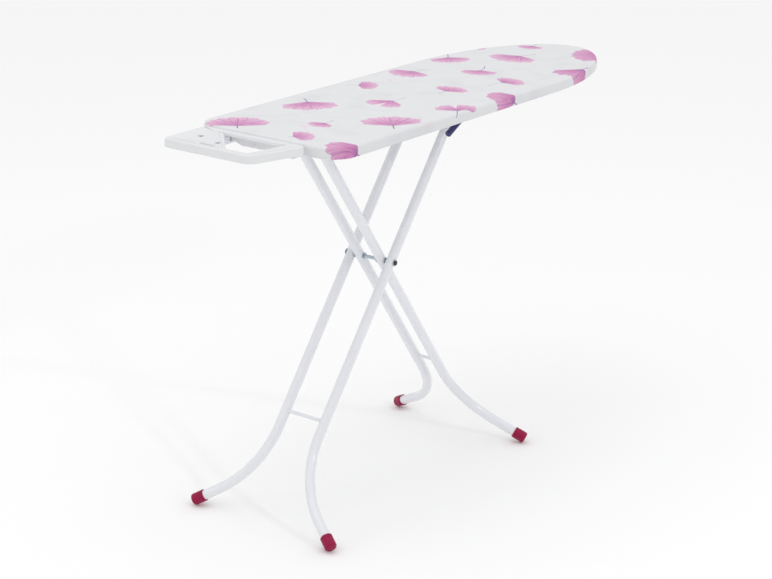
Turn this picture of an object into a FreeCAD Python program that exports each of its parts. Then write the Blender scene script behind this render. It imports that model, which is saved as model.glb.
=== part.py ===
import FreeCAD, Part
import math
import os
import Sketcher

# Folding ironing board, millimetres. +X points to the nose, -Y to the side with the release lever, +Z up.
# The origin is on the floor, under the middle of the whole object at its working height.

doc = FreeCAD.newDocument("IroningBoard")
sheet = doc.addObject("Spreadsheet::Sheet", "Sizes")
hair = 0.01           # how near two edges' places count as the same
leastCut = 1.0        # a cut that takes less than this volume has missed

# ---- driving dimensions -------------------------------------------------------------------------

sizes = {
    # whole object
    "totalLength": 1321.0,
    "topHeight": 870.0,
    "boardWidth": 389.0,
    "boardLength": 1184.0,
    "noseLength": 394.0,
    "cornerRadius": 55.0,
    # cover, pad and panel
    "coverDepth": 24.0,
    "coverThickness": 0.8,
    "coverEdge": 6.0,
    "hemWidth": 30.0,
    "padThickness": 5.3,
    "padGap": 0.3,
    "padInset": 1.6,
    "padEdge": 5.0,
    "panelInset": 1.2,
    "panelDepth": 15.6,
    "sheetSteel": 0.8,
    "rimWidth": 8.0,
    # leg frames
    "tubeRadius": 11.0,
    "tubeBore": 9.8,
    "pivotBehind": 163.5,
    "pivotHeight": 521.0,
    "hingeHeight": 826.0,
    "innerTilt": 35.45,
    "outerTilt": 37.2,
    "innerSpacing": 60.0,
    "outerSpacing": 111.0,
    "tubeTopReach": 12.0,
    "innerStraight": 420.0,
    "innerBendRadius": 185.0,
    "innerBendAngle": 57.0,
    "outerStraight": 420.0,
    "outerBendRadius": 225.0,
    "outerBendAngle": 52.0,
    "crossbarRadius": 4.0,
    "innerCrossbarDrop": 371.0,
    "outerCrossbarDrop": 386.0,
    # feet
    "footRadius": 13.5,
    "footLength": 31.0,
    "footCupDepth": 26.0,
    "footRound": 3.0,
    # pivots
    "rodRadius": 4.0,
    "runningGap": 0.05,
    "sideGap": 0.3,
    "pivotCapRadius": 5.5,
    "pivotCapLength": 2.5,
    "pivotCapRound": 1.5,
    "washerRadius": 7.5,
    "washerThickness": 1.4,
    "clipThickness": 1.4,
    # hinge bracket
    "bracketWidth": 36.0,
    "bracketReach": 13.0,
    "bracketSheet": 2.0,
    # slide rails and slide rod
    "slideRodRadius": 5.0,
    "rollerRadius": 6.5,
    "rollerWidth": 5.0,
    "railOffset": 71.0,
    "railSheet": 2.0,
    "railFlange": 14.0,
    "railDrop": 60.0,
    "railLead": 44.0,
    "railTail": 24.0,
    "slideRodLength": 160.0,
    "slotLow": 807.0,
    "slotHigh": 826.6,
    "slotLead": 9.0,
    "slideTravel": 305.0,
    "notchDepth": 5.5,
    "notchOverlap": 1.0,
    "notchWidth": 15.0,
    "notchPitch": 36.0,
    "notchCount": 7,
    # release lever
    "leverBehind": 30.0,
    "leverHeight": 842.0,
    "leverSide": 123.0,
    "leverDrop": 27.5,
    "leverLength": 92.0,
    "gripRadius": 7.0,
    "gripLength": 58.0,
    "gripCap": 3.0,
    "gripRound": 2.0,
    "shaftReach": 8.0,
    "fingerReach": 36.0,
    "fingerOffset": 77.5,
    "fingerHeight": 8.0,
    "fingerSheet": 2.0,
    "fingerBossWall": 3.0,
    "springRadius": 7.0,
    "springLength": 13.0,
    "springGap": 12.0,
    # iron rest
    "restGap": 4.0,
    "restTopDrop": 1.0,
    "restDepth": 18.0,
    "restWall": 2.6,
    "restEdge": 4.0,
    "restNearBoard": -117.0,
    "restNearOuter": -80.0,
    "restFarBoard": 157.0,
    "restFarOuter": 155.0,
    "restCornerNear": 26.0,
    "restCornerFar": 14.0,
    "restCornerBoard": 10.0,
    "windowBoardInset": 17.0,
    "windowOuterInset": 17.0,
    "windowNearBoard": -80.0,
    "windowNearOuter": -60.0,
    "windowFarBoard": 104.0,
    "windowFarOuter": 6.0,
    "windowCorner": 9.0,
    "screwRadius": 5.0,
    "screwShank": 2.0,
    "screwHead": 1.6,
    "recessGap": 0.8,
    "screwLength": 9.0,
    "screw1In": 70.0,
    "screw1Y": 105.0,
    "screw2In": 91.0,
    "screw2Y": 40.0,
    "ventIn": 16.5,
    "ventY": 30.0,
    "ventWidth": 8.0,
    "ventLength": 37.0,
    "plateSteel": 2.0,
    "plateLip": 12.0,
    "plateFar": 140.0,
    "armNearReach": 30.5,
    "armFarReach": 95.0,
    "armWeld": 60.0,
    "armWidth": 12.0,
    "armDepth": 4.0,
    "armTipGap": 2.0,
    "armKneeReach": 18.0,
    "armKneeGap": 1.0,
    "hemGap": 0.4,
    "riserGap": 3.0,
    "plateOverlap": 2.0,
    "armNearSide": 88.0,
    "armFarSide": 94.0,
}


# ---- values worked out from them ----------------------------------------------------------------

def addDerivedSizes(v):
    """Places that follow from the driving dimensions."""
    inner = math.radians(v["innerTilt"])
    outer = math.radians(v["outerTilt"])
    v["halfLength"] = v["totalLength"] / 2
    v["noseTip"] = v["halfLength"]
    v["boardEnd"] = v["noseTip"] - v["boardLength"]
    v["noseStart"] = v["noseTip"] - v["noseLength"]
    v["coverLow"] = v["topHeight"] - v["coverDepth"]
    v["padTop"] = v["topHeight"] - v["coverThickness"] - v["padGap"]
    v["panelTop"] = v["padTop"] - v["padThickness"]
    v["panelUnder"] = v["panelTop"] - v["sheetSteel"]
    v["panelLow"] = v["panelTop"] - v["panelDepth"]
    v["pivotX"] = -v["pivotBehind"]
    v["armLength"] = (v["hingeHeight"] - v["pivotHeight"]) / math.cos(inner)
    v["hingeX"] = v["pivotX"] - v["armLength"] * math.sin(inner)
    v["slideX"] = v["pivotX"] + v["armLength"] * math.sin(outer)
    v["slideHeight"] = v["pivotHeight"] + v["armLength"] * math.cos(outer)
    for leg, tilt in (("inner", inner), ("outer", outer)):
        bend = math.radians(v[leg + "BendAngle"])
        slope = math.asin(math.cos(bend) * math.cos(tilt))
        # the foot cap's rounded end touches the floor with its lowest point
        capEnd = (v["footRadius"] - v["footRound"]) * math.cos(slope) + v["footRound"] * (1 - math.sin(slope))
        reach = (v["pivotHeight"] - capEnd) / math.cos(tilt)
        tail = (reach - v[leg + "Straight"] - v[leg + "BendRadius"] * math.sin(bend)) / math.cos(bend)
        v[leg + "Tail"] = tail - (v["footLength"] - v["footCupDepth"])
        v[leg + "TubeLength"] = v["armLength"] + v["tubeTopReach"] + v[leg + "Straight"]
    v["restOuter"] = -v["halfLength"]
    v["restBoard"] = v["boardEnd"] - v["restGap"]
    v["restTop"] = v["topHeight"] - v["restTopDrop"]
    v["restLow"] = v["restTop"] - v["restDepth"]
    v["railStart"] = v["slideX"] - v["railLead"]
    v["railEnd"] = v["slideX"] + v["slideTravel"] + v["railTail"]
    v["slotStart"] = v["slideX"] - v["slotLead"]
    v["slotEnd"] = v["slideX"] + v["slideTravel"] + v["slotLead"]
    v["leverX"] = v["slideX"] - v["leverBehind"]
    v["panelInside"] = v["panelInset"] + v["sheetSteel"]
    v["panelMouth"] = v["panelInset"] + v["rimWidth"]
    v["railLow"] = v["panelUnder"] - v["railDrop"]
    v["flangeLow"] = v["panelUnder"] - v["railSheet"]
    v["notchBack"] = v["slideX"] - v["notchWidth"] / 2
    v["notchFront"] = v["slideX"] + v["notchWidth"] / 2
    v["notchMiddle"] = v["slideX"] - v["notchWidth"] / 6
    v["notchRoot"] = v["slotHigh"] - v["notchOverlap"]
    v["notchTop"] = v["slotHigh"] + v["notchDepth"]
    v["restInnerOuter"] = v["restOuter"] + v["restWall"]
    v["restOpenBoard"] = v["restBoard"] + v["restWall"]
    v["restInnerNearBoard"] = v["restNearBoard"] + v["restWall"]
    v["restInnerNearOuter"] = v["restNearOuter"] + v["restWall"]
    v["restInnerFar"] = v["restFarOuter"] - v["restWall"]
    v["windowBoard"] = v["restBoard"] - v["windowBoardInset"]
    v["windowOuter"] = v["restOuter"] + v["windowOuterInset"]
    v["screw1X"] = v["restBoard"] - v["screw1In"]
    v["screw2X"] = v["restBoard"] - v["screw2In"]
    v["ventX"] = v["restOuter"] + v["ventIn"]
    v["plateBoard"] = v["windowBoard"]
    v["plateOuter"] = v["windowOuter"] - v["plateOverlap"]
    v["plateNearBoard"] = v["windowFarBoard"] - v["plateLip"]
    v["plateNearOuter"] = v["windowFarOuter"] - v["plateLip"]
    v["armHemTop"] = v["coverLow"] - v["hemGap"]
    v["armLow"] = v["armHemTop"] - v["armDepth"]
    v["armTipLow"] = v["restLow"] + v["armTipGap"]
    v["armNearTip"] = v["restBoard"] - v["armNearReach"]
    v["armFarTip"] = v["restBoard"] - v["armFarReach"]
    v["armNearTop"] = v["restTop"] - v["restWall"]
    v["armFarTop"] = v["armNearTop"] - v["plateSteel"]
    v["armOuterKnee"] = v["restBoard"] - v["armKneeReach"]
    v["armKnee"] = v["restBoard"] - v["armKneeGap"]
    v["armRiser"] = v["boardEnd"] + v["hemWidth"] + v["riserGap"]
    v["armInnerEnd"] = v["armRiser"] + v["armWeld"]


addDerivedSizes(sizes)
for row, (alias, value) in enumerate(sizes.items(), start=1):
    sheet.set("A%d" % row, alias)
    sheet.set("B%d" % row, repr(value))
    sheet.setAlias("B%d" % row, alias)
doc.recompute()

nodes = []


def cell(alias):
    return "Sizes." + alias


def node(thing, label):
    """Name a finished sub-part; its label is the name of its file."""
    thing.Label = label
    nodes.append(thing)
    return thing


def place(thing, x=0.0, y=0.0, z=0.0, rotation=None):
    thing.Placement = FreeCAD.Placement(FreeCAD.Vector(x, y, z), rotation or FreeCAD.Rotation())


def bind(thing, **expressions):
    for key, expression in expressions.items():
        thing.setExpression(key, expression)


# ---- small builders -----------------------------------------------------------------------------

def boolean(kind, name, base, tool):
    thing = doc.addObject("Part::" + kind, name)
    thing.Base = base
    thing.Tool = tool
    thing.Refine = True
    return thing


def alongY(name, radius, x, y, z, length):
    """Cylinder whose axis runs along +Y from the given point; sizes are expressions."""
    rod = doc.addObject("Part::Cylinder", name)
    bind(rod, Radius=radius, Height=length)
    place(rod, x, y, z, FreeCAD.Rotation(FreeCAD.Vector(1, 0, 0), -90))
    return rod


def ring(name, outer, inner, x, y, z, length):
    """Tube along +Y, such as a washer, clip or roller."""
    body = alongY(name + "Outside", outer, x, y, z, length)
    bore = alongY(name + "Bore", inner, x, y, z, length)
    return boolean("Cut", name, body, bore)


def together(name, parts):
    group = doc.addObject("Part::Compound", name)
    group.Links = parts
    return group


def originPlane(body, role):
    return next(f for f in body.Origin.OriginFeatures if f.Role == role)


def newSketch(body, name, role):
    sketch = body.newObject("Sketcher::SketchObject", name)
    sketch.AttachmentSupport = [(originPlane(body, role), "")]
    sketch.MapMode = "FlatFace"
    return sketch


def fixPoint(sketch, geometry, end, alias, direction):
    """Tie one coordinate of a sketch point to a cell of the sheet."""
    index = sketch.addConstraint(Sketcher.Constraint(direction, -1, 1, geometry, end, sizes[alias]))
    sketch.setExpression("Constraints[%d]" % index, cell(alias))


def outline(sketch, corners):
    """Closed straight-sided outline; each corner is a pair of cell names."""
    points = [FreeCAD.Vector(sizes[x], sizes[y], 0) for x, y in corners]
    count = len(points)
    for i in range(count):
        sketch.addGeometry(Part.LineSegment(points[i], points[(i + 1) % count]), False)
    for i in range(count):
        sketch.addConstraint(Sketcher.Constraint("Coincident", i, 2, (i + 1) % count, 1))
    for i, (x, y) in enumerate(corners):
        fixPoint(sketch, i, 1, x, "DistanceX")
        fixPoint(sketch, i, 1, y, "DistanceY")


def circle(sketch, x, radius):
    """Circle centred on the sketch's horizontal axis; x is a number, radius an expression."""
    index = sketch.addGeometry(Part.Circle(FreeCAD.Vector(x, 0, 0), FreeCAD.Vector(0, 0, 1), 5), False)
    size = sketch.addConstraint(Sketcher.Constraint("Radius", index, 5))
    sketch.setExpression("Constraints[%d]" % size, radius)
    return index


def pad(body, name, sketch, length, midplane=False, reverse=False):
    feature = body.newObject("PartDesign::Pad", name)
    feature.Profile = sketch
    feature.setExpression("Length", length)
    feature.Midplane = midplane
    feature.Reversed = reverse
    doc.recompute()
    return feature


def pocket(body, name, sketch, length, midplane=False, reverse=False):
    before = body.Shape.Volume
    feature = body.newObject("PartDesign::Pocket", name)
    feature.Profile = sketch
    feature.setExpression("Length", length)
    feature.Midplane = midplane
    feature.Reversed = reverse
    doc.recompute()
    if body.Shape.Volume > before - leastCut:
        raise RuntimeError(name + " cuts nothing")
    return feature


def edgesWhere(shape, test):
    return [i + 1 for i, edge in enumerate(shape.Edges) if test(edge)]


def roundEdges(name, base, test, radius):
    """Round the chosen edges of a Part object; the radius is the sheet's value."""
    if radius <= 0:
        return base
    doc.recompute()
    rounded = doc.addObject("Part::Fillet", name)
    rounded.Base = base
    rounded.Edges = [(i, radius, radius) for i in edgesWhere(base.Shape, test)]
    return rounded


def isUpright(edge):
    box = edge.BoundBox
    return box.ZLength > 1 and box.XLength < hair and box.YLength < hair


def uprightAt(x, y):
    """Test for the upright edge at one plan position."""
    return lambda e: isUpright(e) and abs(e.BoundBox.XMin - x) < hair and abs(e.BoundBox.YMin - y) < hair


def filletEdges(body, name, test, radius):
    """PartDesign fillet of the chosen edges; radius is a cell name."""
    doc.recompute()
    feature = body.newObject("PartDesign::Fillet", name)
    base = feature.BaseFeature
    feature.Base = (base, ["Edge%d" % i for i in edgesWhere(base.Shape, test)])
    feature.setExpression("Radius", cell(radius))
    doc.recompute()
    body.Tip = feature


# ---- the board's outline as a block -------------------------------------------------------------

def boardBlock(name, inset, low, high, edge):
    """Solid with the board's plan outline, pulled in by inset (a cell name or 0)."""
    gap = sizes[inset] if inset else 0.0
    less = " - " + cell(inset) if inset else ""
    straight = doc.addObject("Part::Box", name + "Straight")
    bind(
        straight,
        Length="Sizes.boardLength - Sizes.noseLength" + less,
        Width="Sizes.boardWidth" + (" - 2 * " + cell(inset) if inset else ""),
        Height="%s - (%s)" % (high, low),
    )
    place(straight, sizes["boardEnd"] + gap, -sizes["boardWidth"] / 2 + gap)
    straight.setExpression("Placement.Base.z", low)
    doc.recompute()
    squareEnd = sizes["boardEnd"] + gap
    corner = max(sizes["cornerRadius"] - gap, 6.0)
    corners = roundEdges(
        name + "Corners",
        straight,
        lambda e: isUpright(e) and abs(e.BoundBox.XMin - squareEnd) < hair,
        corner,
    )
    ellipse = doc.addObject("Part::Ellipse", name + "Ellipse")
    bind(ellipse, MajorRadius="Sizes.noseLength" + less, MinorRadius="Sizes.boardWidth / 2" + less)
    place(ellipse, sizes["noseStart"])
    ellipse.setExpression("Placement.Base.z", low)
    nose = doc.addObject("Part::Extrusion", name + "Nose")
    nose.Base = ellipse
    nose.DirMode = "Custom"
    nose.Dir = FreeCAD.Vector(0, 0, 1)
    nose.Solid = True
    nose.setExpression("LengthFwd", "%s - (%s)" % (high, low))
    block = boolean("Fuse", name + "Block", corners, nose)
    doc.recompute()
    top = block.Shape.BoundBox.ZMax
    return roundEdges(name + "Rounded", block, lambda e: e.BoundBox.ZMin > top - hair, edge)


def makeBoardPanel():
    outside = boardBlock("panelOut", "panelInset", cell("panelLow"), cell("panelTop"), sizes["coverEdge"])
    inside = boardBlock(
        "panelIn",
        "panelInside",
        "Sizes.panelLow + Sizes.sheetSteel",
        cell("panelUnder"),
        sizes["coverEdge"] - sizes["sheetSteel"],
    )
    mouth = boardBlock("panelMouth", "panelMouth", "Sizes.panelLow - 1", "Sizes.panelLow + 3", 0)
    tray = boolean("Cut", "panelTray", outside, inside)
    return node(boolean("Cut", "panel", tray, mouth), "board_panel")


def makePad():
    block = boardBlock("pad", "padInset", cell("panelTop"), cell("padTop"), sizes["padEdge"])
    return node(block, "underlay_pad")


def makeCover():
    outside = boardBlock("coverOut", None, cell("coverLow"), cell("topHeight"), sizes["coverEdge"])
    inside = boardBlock(
        "coverIn",
        "coverThickness",
        "Sizes.coverLow + Sizes.coverThickness",
        "Sizes.topHeight - Sizes.coverThickness",
        sizes["coverEdge"] - sizes["coverThickness"],
    )
    mouth = boardBlock("coverMouth", "hemWidth", "Sizes.coverLow - 1", "Sizes.coverLow + 3", 0)
    shell = boolean("Cut", "coverShell", outside, inside)
    return node(boolean("Cut", "cover", shell, mouth), "cover")


# ---- leg tubes ----------------------------------------------------------------------------------

def legFrame(leg, side):
    """Placement of a tube's own frame: X down the tube, Y out to its side, Z across the frame."""
    sign = 1 if leg == "inner" else -1
    tilt = math.radians(sizes[leg + "Tilt"])
    down = FreeCAD.Vector(sign * math.sin(tilt), 0, -math.cos(tilt))
    out = FreeCAD.Vector(0, side, 0)
    top = sizes["armLength"] + sizes["tubeTopReach"]
    start = FreeCAD.Vector(sizes["pivotX"], 0, sizes["pivotHeight"]) - down * top
    start.y = side * sizes[leg + "Spacing"] / 2
    matrix = FreeCAD.Matrix()
    for row, part in enumerate("xyz"):
        axis = (getattr(down, part), getattr(out, part), getattr(down.cross(out), part))
        for column, value in enumerate(axis):
            setattr(matrix, "A%d%d" % (row + 1, column + 1), value)
    return FreeCAD.Placement(start, FreeCAD.Rotation(matrix))


def makeLegTube(leg, side, label):
    body = doc.addObject("PartDesign::Body", label + "Body")
    bend = math.radians(sizes[leg + "BendAngle"])
    radius = sizes[leg + "BendRadius"]
    straight = sizes[leg + "TubeLength"]
    bendEnd = FreeCAD.Vector(straight + radius * math.sin(bend), radius * (1 - math.cos(bend)), 0)
    tailEnd = bendEnd + FreeCAD.Vector(math.cos(bend), math.sin(bend), 0) * sizes[leg + "Tail"]

    path = newSketch(body, label + "Path", "XY_Plane")
    origin = FreeCAD.Vector(0, 0, 0)
    bendStart = FreeCAD.Vector(straight, 0, 0)
    arc = Part.ArcOfCircle(
        Part.Circle(bendStart + FreeCAD.Vector(0, radius, 0), FreeCAD.Vector(0, 0, 1), radius),
        -math.pi / 2,
        -math.pi / 2 + bend,
    )
    path.addGeometry(Part.LineSegment(origin, bendStart), False)
    path.addGeometry(arc, False)
    path.addGeometry(Part.LineSegment(bendEnd, tailEnd), False)
    path.addConstraint(Sketcher.Constraint("Coincident", 0, 1, -1, 1))
    path.addConstraint(Sketcher.Constraint("Horizontal", 0))
    path.addConstraint(Sketcher.Constraint("Tangent", 0, 2, 1, 1))
    path.addConstraint(Sketcher.Constraint("Tangent", 1, 2, 2, 1))
    measures = (
        (Sketcher.Constraint("Distance", 0, straight), cell(leg + "TubeLength")),
        (Sketcher.Constraint("Radius", 1, radius), cell(leg + "BendRadius")),
        (Sketcher.Constraint("Distance", 2, sizes[leg + "Tail"]), cell(leg + "Tail")),
    )
    for constraint, expression in measures:
        index = path.addConstraint(constraint)
        path.setExpression("Constraints[%d]" % index, expression)

    section = newSketch(body, label + "Section", "YZ_Plane")
    circle(section, 0, cell("tubeRadius"))
    circle(section, 0, cell("tubeBore"))
    for index in (0, 1):
        section.addConstraint(Sketcher.Constraint("Coincident", index, 3, -1, 1))
    doc.recompute()
    pipe = body.newObject("PartDesign::AdditivePipe", label + "Pipe")
    pipe.Profile = section
    pipe.Spine = (path, ["Edge1", "Edge2", "Edge3"])
    doc.recompute()

    holes = newSketch(body, label + "Holes", "XZ_Plane")
    topHole = "slideRodRadius" if leg == "outer" else "rodRadius"
    for x, hole in ((sizes["tubeTopReach"], topHole), (sizes["tubeTopReach"] + sizes["armLength"], "rodRadius")):
        index = circle(holes, x, "%s + Sizes.runningGap" % cell(hole))
        holes.addConstraint(Sketcher.Constraint("PointOnObject", index, 3, -1))
        holes.addConstraint(Sketcher.Constraint("DistanceX", -1, 1, index, 3, x))
    pocket(body, label + "Drilling", holes, "4 * Sizes.tubeRadius", midplane=True)
    body.Placement = legFrame(leg, side)
    return node(body, label)


def makeFootCap(leg, side, label):
    """Plastic cup pushed on a tube's lower end."""
    body = doc.addObject("PartDesign::Body", label + "Body")
    section = newSketch(body, label + "Section", "XY_Plane")
    circle(section, 0, cell("footRadius"))
    section.addConstraint(Sketcher.Constraint("Coincident", 0, 3, -1, 1))
    pad(body, label + "Solid", section, cell("footLength"))
    mouth = newSketch(body, label + "Mouth", "XY_Plane")
    circle(mouth, 0, cell("tubeRadius"))
    mouth.addConstraint(Sketcher.Constraint("Coincident", 0, 3, -1, 1))
    pocket(body, label + "Cup", mouth, cell("footCupDepth"), reverse=True)
    far = sizes["footLength"]
    filletEdges(body, label + "Round", lambda e: e.BoundBox.ZMin > far - hair, "footRound")
    frame = legFrame(leg, side)
    bend = math.radians(sizes[leg + "BendAngle"])
    radius = sizes[leg + "BendRadius"]
    along = FreeCAD.Vector(math.cos(bend), math.sin(bend), 0)
    start = FreeCAD.Vector(sizes[leg + "TubeLength"] + radius * math.sin(bend), radius * (1 - math.cos(bend)), 0)
    mouthAt = start + along * (sizes[leg + "Tail"] - sizes["footCupDepth"])
    turn = FreeCAD.Rotation(FreeCAD.Vector(0, 0, 1), along)
    body.Placement = frame.multiply(FreeCAD.Placement(mouthAt, turn))
    return node(body, label)


def makeCrossbar(leg, label):
    """Thin tie between a leg's two tubes, its ends shaped to them."""
    frame = legFrame(leg, 1)
    drop = sizes["armLength"] + sizes["tubeTopReach"] + sizes[leg + "CrossbarDrop"]
    middle = frame.multVec(FreeCAD.Vector(drop, 0, 0))
    half = sizes[leg + "Spacing"] / 2
    bar = alongY(label + "Bar", cell("crossbarRadius"), middle.x, -half, middle.z, cell(leg + "Spacing"))
    for side in (-1, 1):
        tube = doc.addObject("Part::Cylinder", label + "Tube")
        bind(tube, Radius=cell("tubeRadius"), Height="10 * Sizes.tubeRadius")
        placement = legFrame(leg, side)
        start = placement.multVec(FreeCAD.Vector(drop - 5 * sizes["tubeRadius"], 0, 0))
        turn = placement.Rotation.multiply(FreeCAD.Rotation(FreeCAD.Vector(0, 0, 1), FreeCAD.Vector(1, 0, 0)))
        tube.Placement = FreeCAD.Placement(start, turn)
        bar = boolean("Cut", label + "Coped", bar, tube)
    return node(bar, label)


def makeLegs():
    for leg in ("inner", "outer"):
        for side, where in ((-1, "near"), (1, "far")):
            makeLegTube(leg, side, "%s_leg_tube_%s" % (leg, where))
            makeFootCap(leg, side, "%s_foot_cap_%s" % (leg, where))
        makeCrossbar(leg, leg + "_crossbar")


# ---- pivot between the two legs -----------------------------------------------------------------

def makePivot():
    x = sizes["pivotX"]
    z = sizes["pivotHeight"]
    outside = sizes["outerSpacing"] / 2 + sizes["tubeRadius"] + sizes["sideGap"]
    half = outside + sizes["washerThickness"]
    node(alongY("pivotRod", cell("rodRadius"), x, -half, z, "Sizes.outerSpacing + 2 * (Sizes.tubeRadius"
                " + Sizes.sideGap + Sizes.washerThickness)"), "pivot_rod")
    thick = cell("washerThickness")
    bore = "Sizes.rodRadius + Sizes.runningGap"
    inside = sizes["innerSpacing"] / 2 - sizes["tubeRadius"]
    between = sizes["innerSpacing"] / 2 + sizes["tubeRadius"] + sizes["sideGap"]
    starts = (
        -outside - sizes["washerThickness"],
        -between - sizes["washerThickness"],
        -inside,
        inside - sizes["washerThickness"],
        between,
        outside,
    )
    washers = [ring("pivotWasher%d" % i, cell("washerRadius"), bore, x, y, z, thick) for i, y in enumerate(starts)]
    node(together("pivotWashers", washers), "pivot_washers")
    caps = []
    for i, y in enumerate((-half - sizes["pivotCapLength"], half)):
        cap = alongY("pivotCap%d" % i, cell("pivotCapRadius"), x, y, z, cell("pivotCapLength"))
        outerFace = y if y < 0 else y + sizes["pivotCapLength"]
        caps.append(roundEdges("pivotCapRound%d" % i, cap, lambda e: abs(e.BoundBox.YMin - outerFace) < hair
                    and e.BoundBox.YLength < hair, sizes["pivotCapRound"]))
    node(together("pivotCaps", caps), "pivot_caps")


# ---- hinge of the inner leg ---------------------------------------------------------------------

def makeHinge():
    x = sizes["hingeX"]
    z = sizes["hingeHeight"]
    reach = sizes["bracketReach"]
    channel = doc.addObject("Part::Box", "bracketBlock")
    bind(channel, Length="4 * Sizes.bracketReach", Width=cell("bracketWidth"),
         Height="Sizes.panelUnder - Sizes.hingeHeight")
    place(channel, x - 2 * reach, -sizes["bracketWidth"] / 2, z)
    ears = alongY("bracketEars", cell("bracketReach"), x, -sizes["bracketWidth"] / 2, z, cell("bracketWidth"))
    solid = boolean("Fuse", "bracketSolid", channel, ears)
    hollow = doc.addObject("Part::Box", "bracketHollow")
    bind(hollow, Length="6 * Sizes.bracketReach", Width="Sizes.bracketWidth - 2 * Sizes.bracketSheet",
         Height="Sizes.panelUnder - Sizes.hingeHeight + Sizes.bracketReach")
    place(hollow, x - 3 * reach, -sizes["bracketWidth"] / 2 + sizes["bracketSheet"], z - reach
          - sizes["bracketSheet"])
    channelled = boolean("Cut", "bracketChannel", solid, hollow)
    bore = alongY("bracketBore", "Sizes.rodRadius + Sizes.runningGap", x, -sizes["bracketWidth"], z,
                  "2 * Sizes.bracketWidth")
    node(boolean("Cut", "bracket", channelled, bore), "hinge_bracket")
    face = sizes["innerSpacing"] / 2 + sizes["tubeRadius"] + sizes["sideGap"]
    half = face + sizes["clipThickness"]
    node(alongY("hingeRod", cell("rodRadius"), x, -half, z, "Sizes.innerSpacing + 2 * (Sizes.tubeRadius"
                " + Sizes.sideGap + Sizes.clipThickness)"), "hinge_rod")
    clips = [ring("hingeClip%d" % i, cell("washerRadius"), "Sizes.rodRadius", x, y, z, cell("clipThickness"))
             for i, y in enumerate((-half, face))]
    node(together("hingeClips", clips), "hinge_rod_clips")


# ---- slide rails and the rod that runs in them --------------------------------------------------

def makeSlideRail(side, label):
    body = doc.addObject("PartDesign::Body", label + "Body")
    plate = newSketch(body, label + "Plate", "XZ_Plane")
    outline(plate, (("railStart", "railLow"), ("railEnd", "railLow"), ("railEnd", "panelUnder"),
                    ("railStart", "panelUnder")))
    pad(body, label + "Web", plate, cell("railSheet"), reverse=side > 0)
    flange = newSketch(body, label + "FlangeOutline", "XZ_Plane")
    outline(flange, (("railStart", "flangeLow"), ("railEnd", "flangeLow"), ("railEnd", "panelUnder"),
                     ("railStart", "panelUnder")))
    pad(body, label + "Flange", flange, cell("railFlange"), reverse=side > 0)
    slot = newSketch(body, label + "Slot", "XZ_Plane")
    outline(slot, (("slotStart", "slotLow"), ("slotEnd", "slotLow"), ("slotEnd", "slotHigh"),
                   ("slotStart", "slotHigh")))
    pocket(body, label + "SlotCut", slot, "4 * Sizes.railSheet", midplane=True)
    notch = newSketch(body, label + "Notch", "XZ_Plane")
    outline(notch, (("notchBack", "notchRoot"), ("notchFront", "notchRoot"), ("notchFront", "notchTop"),
                    ("notchMiddle", "notchTop")))
    cut = pocket(body, label + "NotchCut", notch, "4 * Sizes.railSheet", midplane=True)
    pattern = body.newObject("PartDesign::LinearPattern", label + "Notches")
    pattern.Originals = [cut]
    pattern.Direction = (notch, ["H_Axis"])
    pattern.setExpression("Length", "(Sizes.notchCount - 1) * Sizes.notchPitch")
    pattern.setExpression("Occurrences", cell("notchCount"))
    body.Tip = pattern
    hole = newSketch(body, label + "ShaftHole", "XZ_Plane")
    circle(hole, sizes["leverX"], "Sizes.rodRadius + Sizes.runningGap")
    hole.addConstraint(Sketcher.Constraint("DistanceX", -1, 1, 0, 3, sizes["leverX"]))
    hole.addConstraint(Sketcher.Constraint("DistanceY", -1, 1, 0, 3, sizes["leverHeight"]))
    doc.recompute()
    pocket(body, label + "ShaftBore", hole, "4 * Sizes.railSheet", midplane=True)
    place(body, 0, side * sizes["railOffset"], 0)
    return node(body, label)


def makeSlideRod():
    x = sizes["slideX"]
    z = sizes["slideHeight"]
    clipFace = sizes["railOffset"] + sizes["railSheet"] / 2 + sizes["rollerWidth"] / 2 + sizes["runningGap"]
    half = clipFace + sizes["clipThickness"]
    node(alongY("slideRod", cell("slideRodRadius"), x, -sizes["slideRodLength"] / 2, z, cell("slideRodLength")),
         "slide_rod")
    inner = clipFace - sizes["rollerWidth"] - sizes["runningGap"]
    bore = "Sizes.slideRodRadius + Sizes.runningGap"
    rollers = [ring("roller%d" % i, cell("rollerRadius"), bore, x, y, z, cell("rollerWidth"))
               for i, y in enumerate((-inner - sizes["rollerWidth"], inner))]
    node(together("slideRollers", rollers), "slide_rollers")
    clips = [ring("slideClip%d" % i, cell("rollerRadius"), cell("slideRodRadius"), x, y, z, cell("clipThickness"))
             for i, y in enumerate((-half, clipFace))]
    node(together("slideClips", clips), "slide_rod_clips")


# ---- release lever ------------------------------------------------------------------------------

def leverDirection():
    drop = math.radians(sizes["leverDrop"])
    return FreeCAD.Vector(-math.cos(drop), 0, -math.sin(drop))


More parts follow.
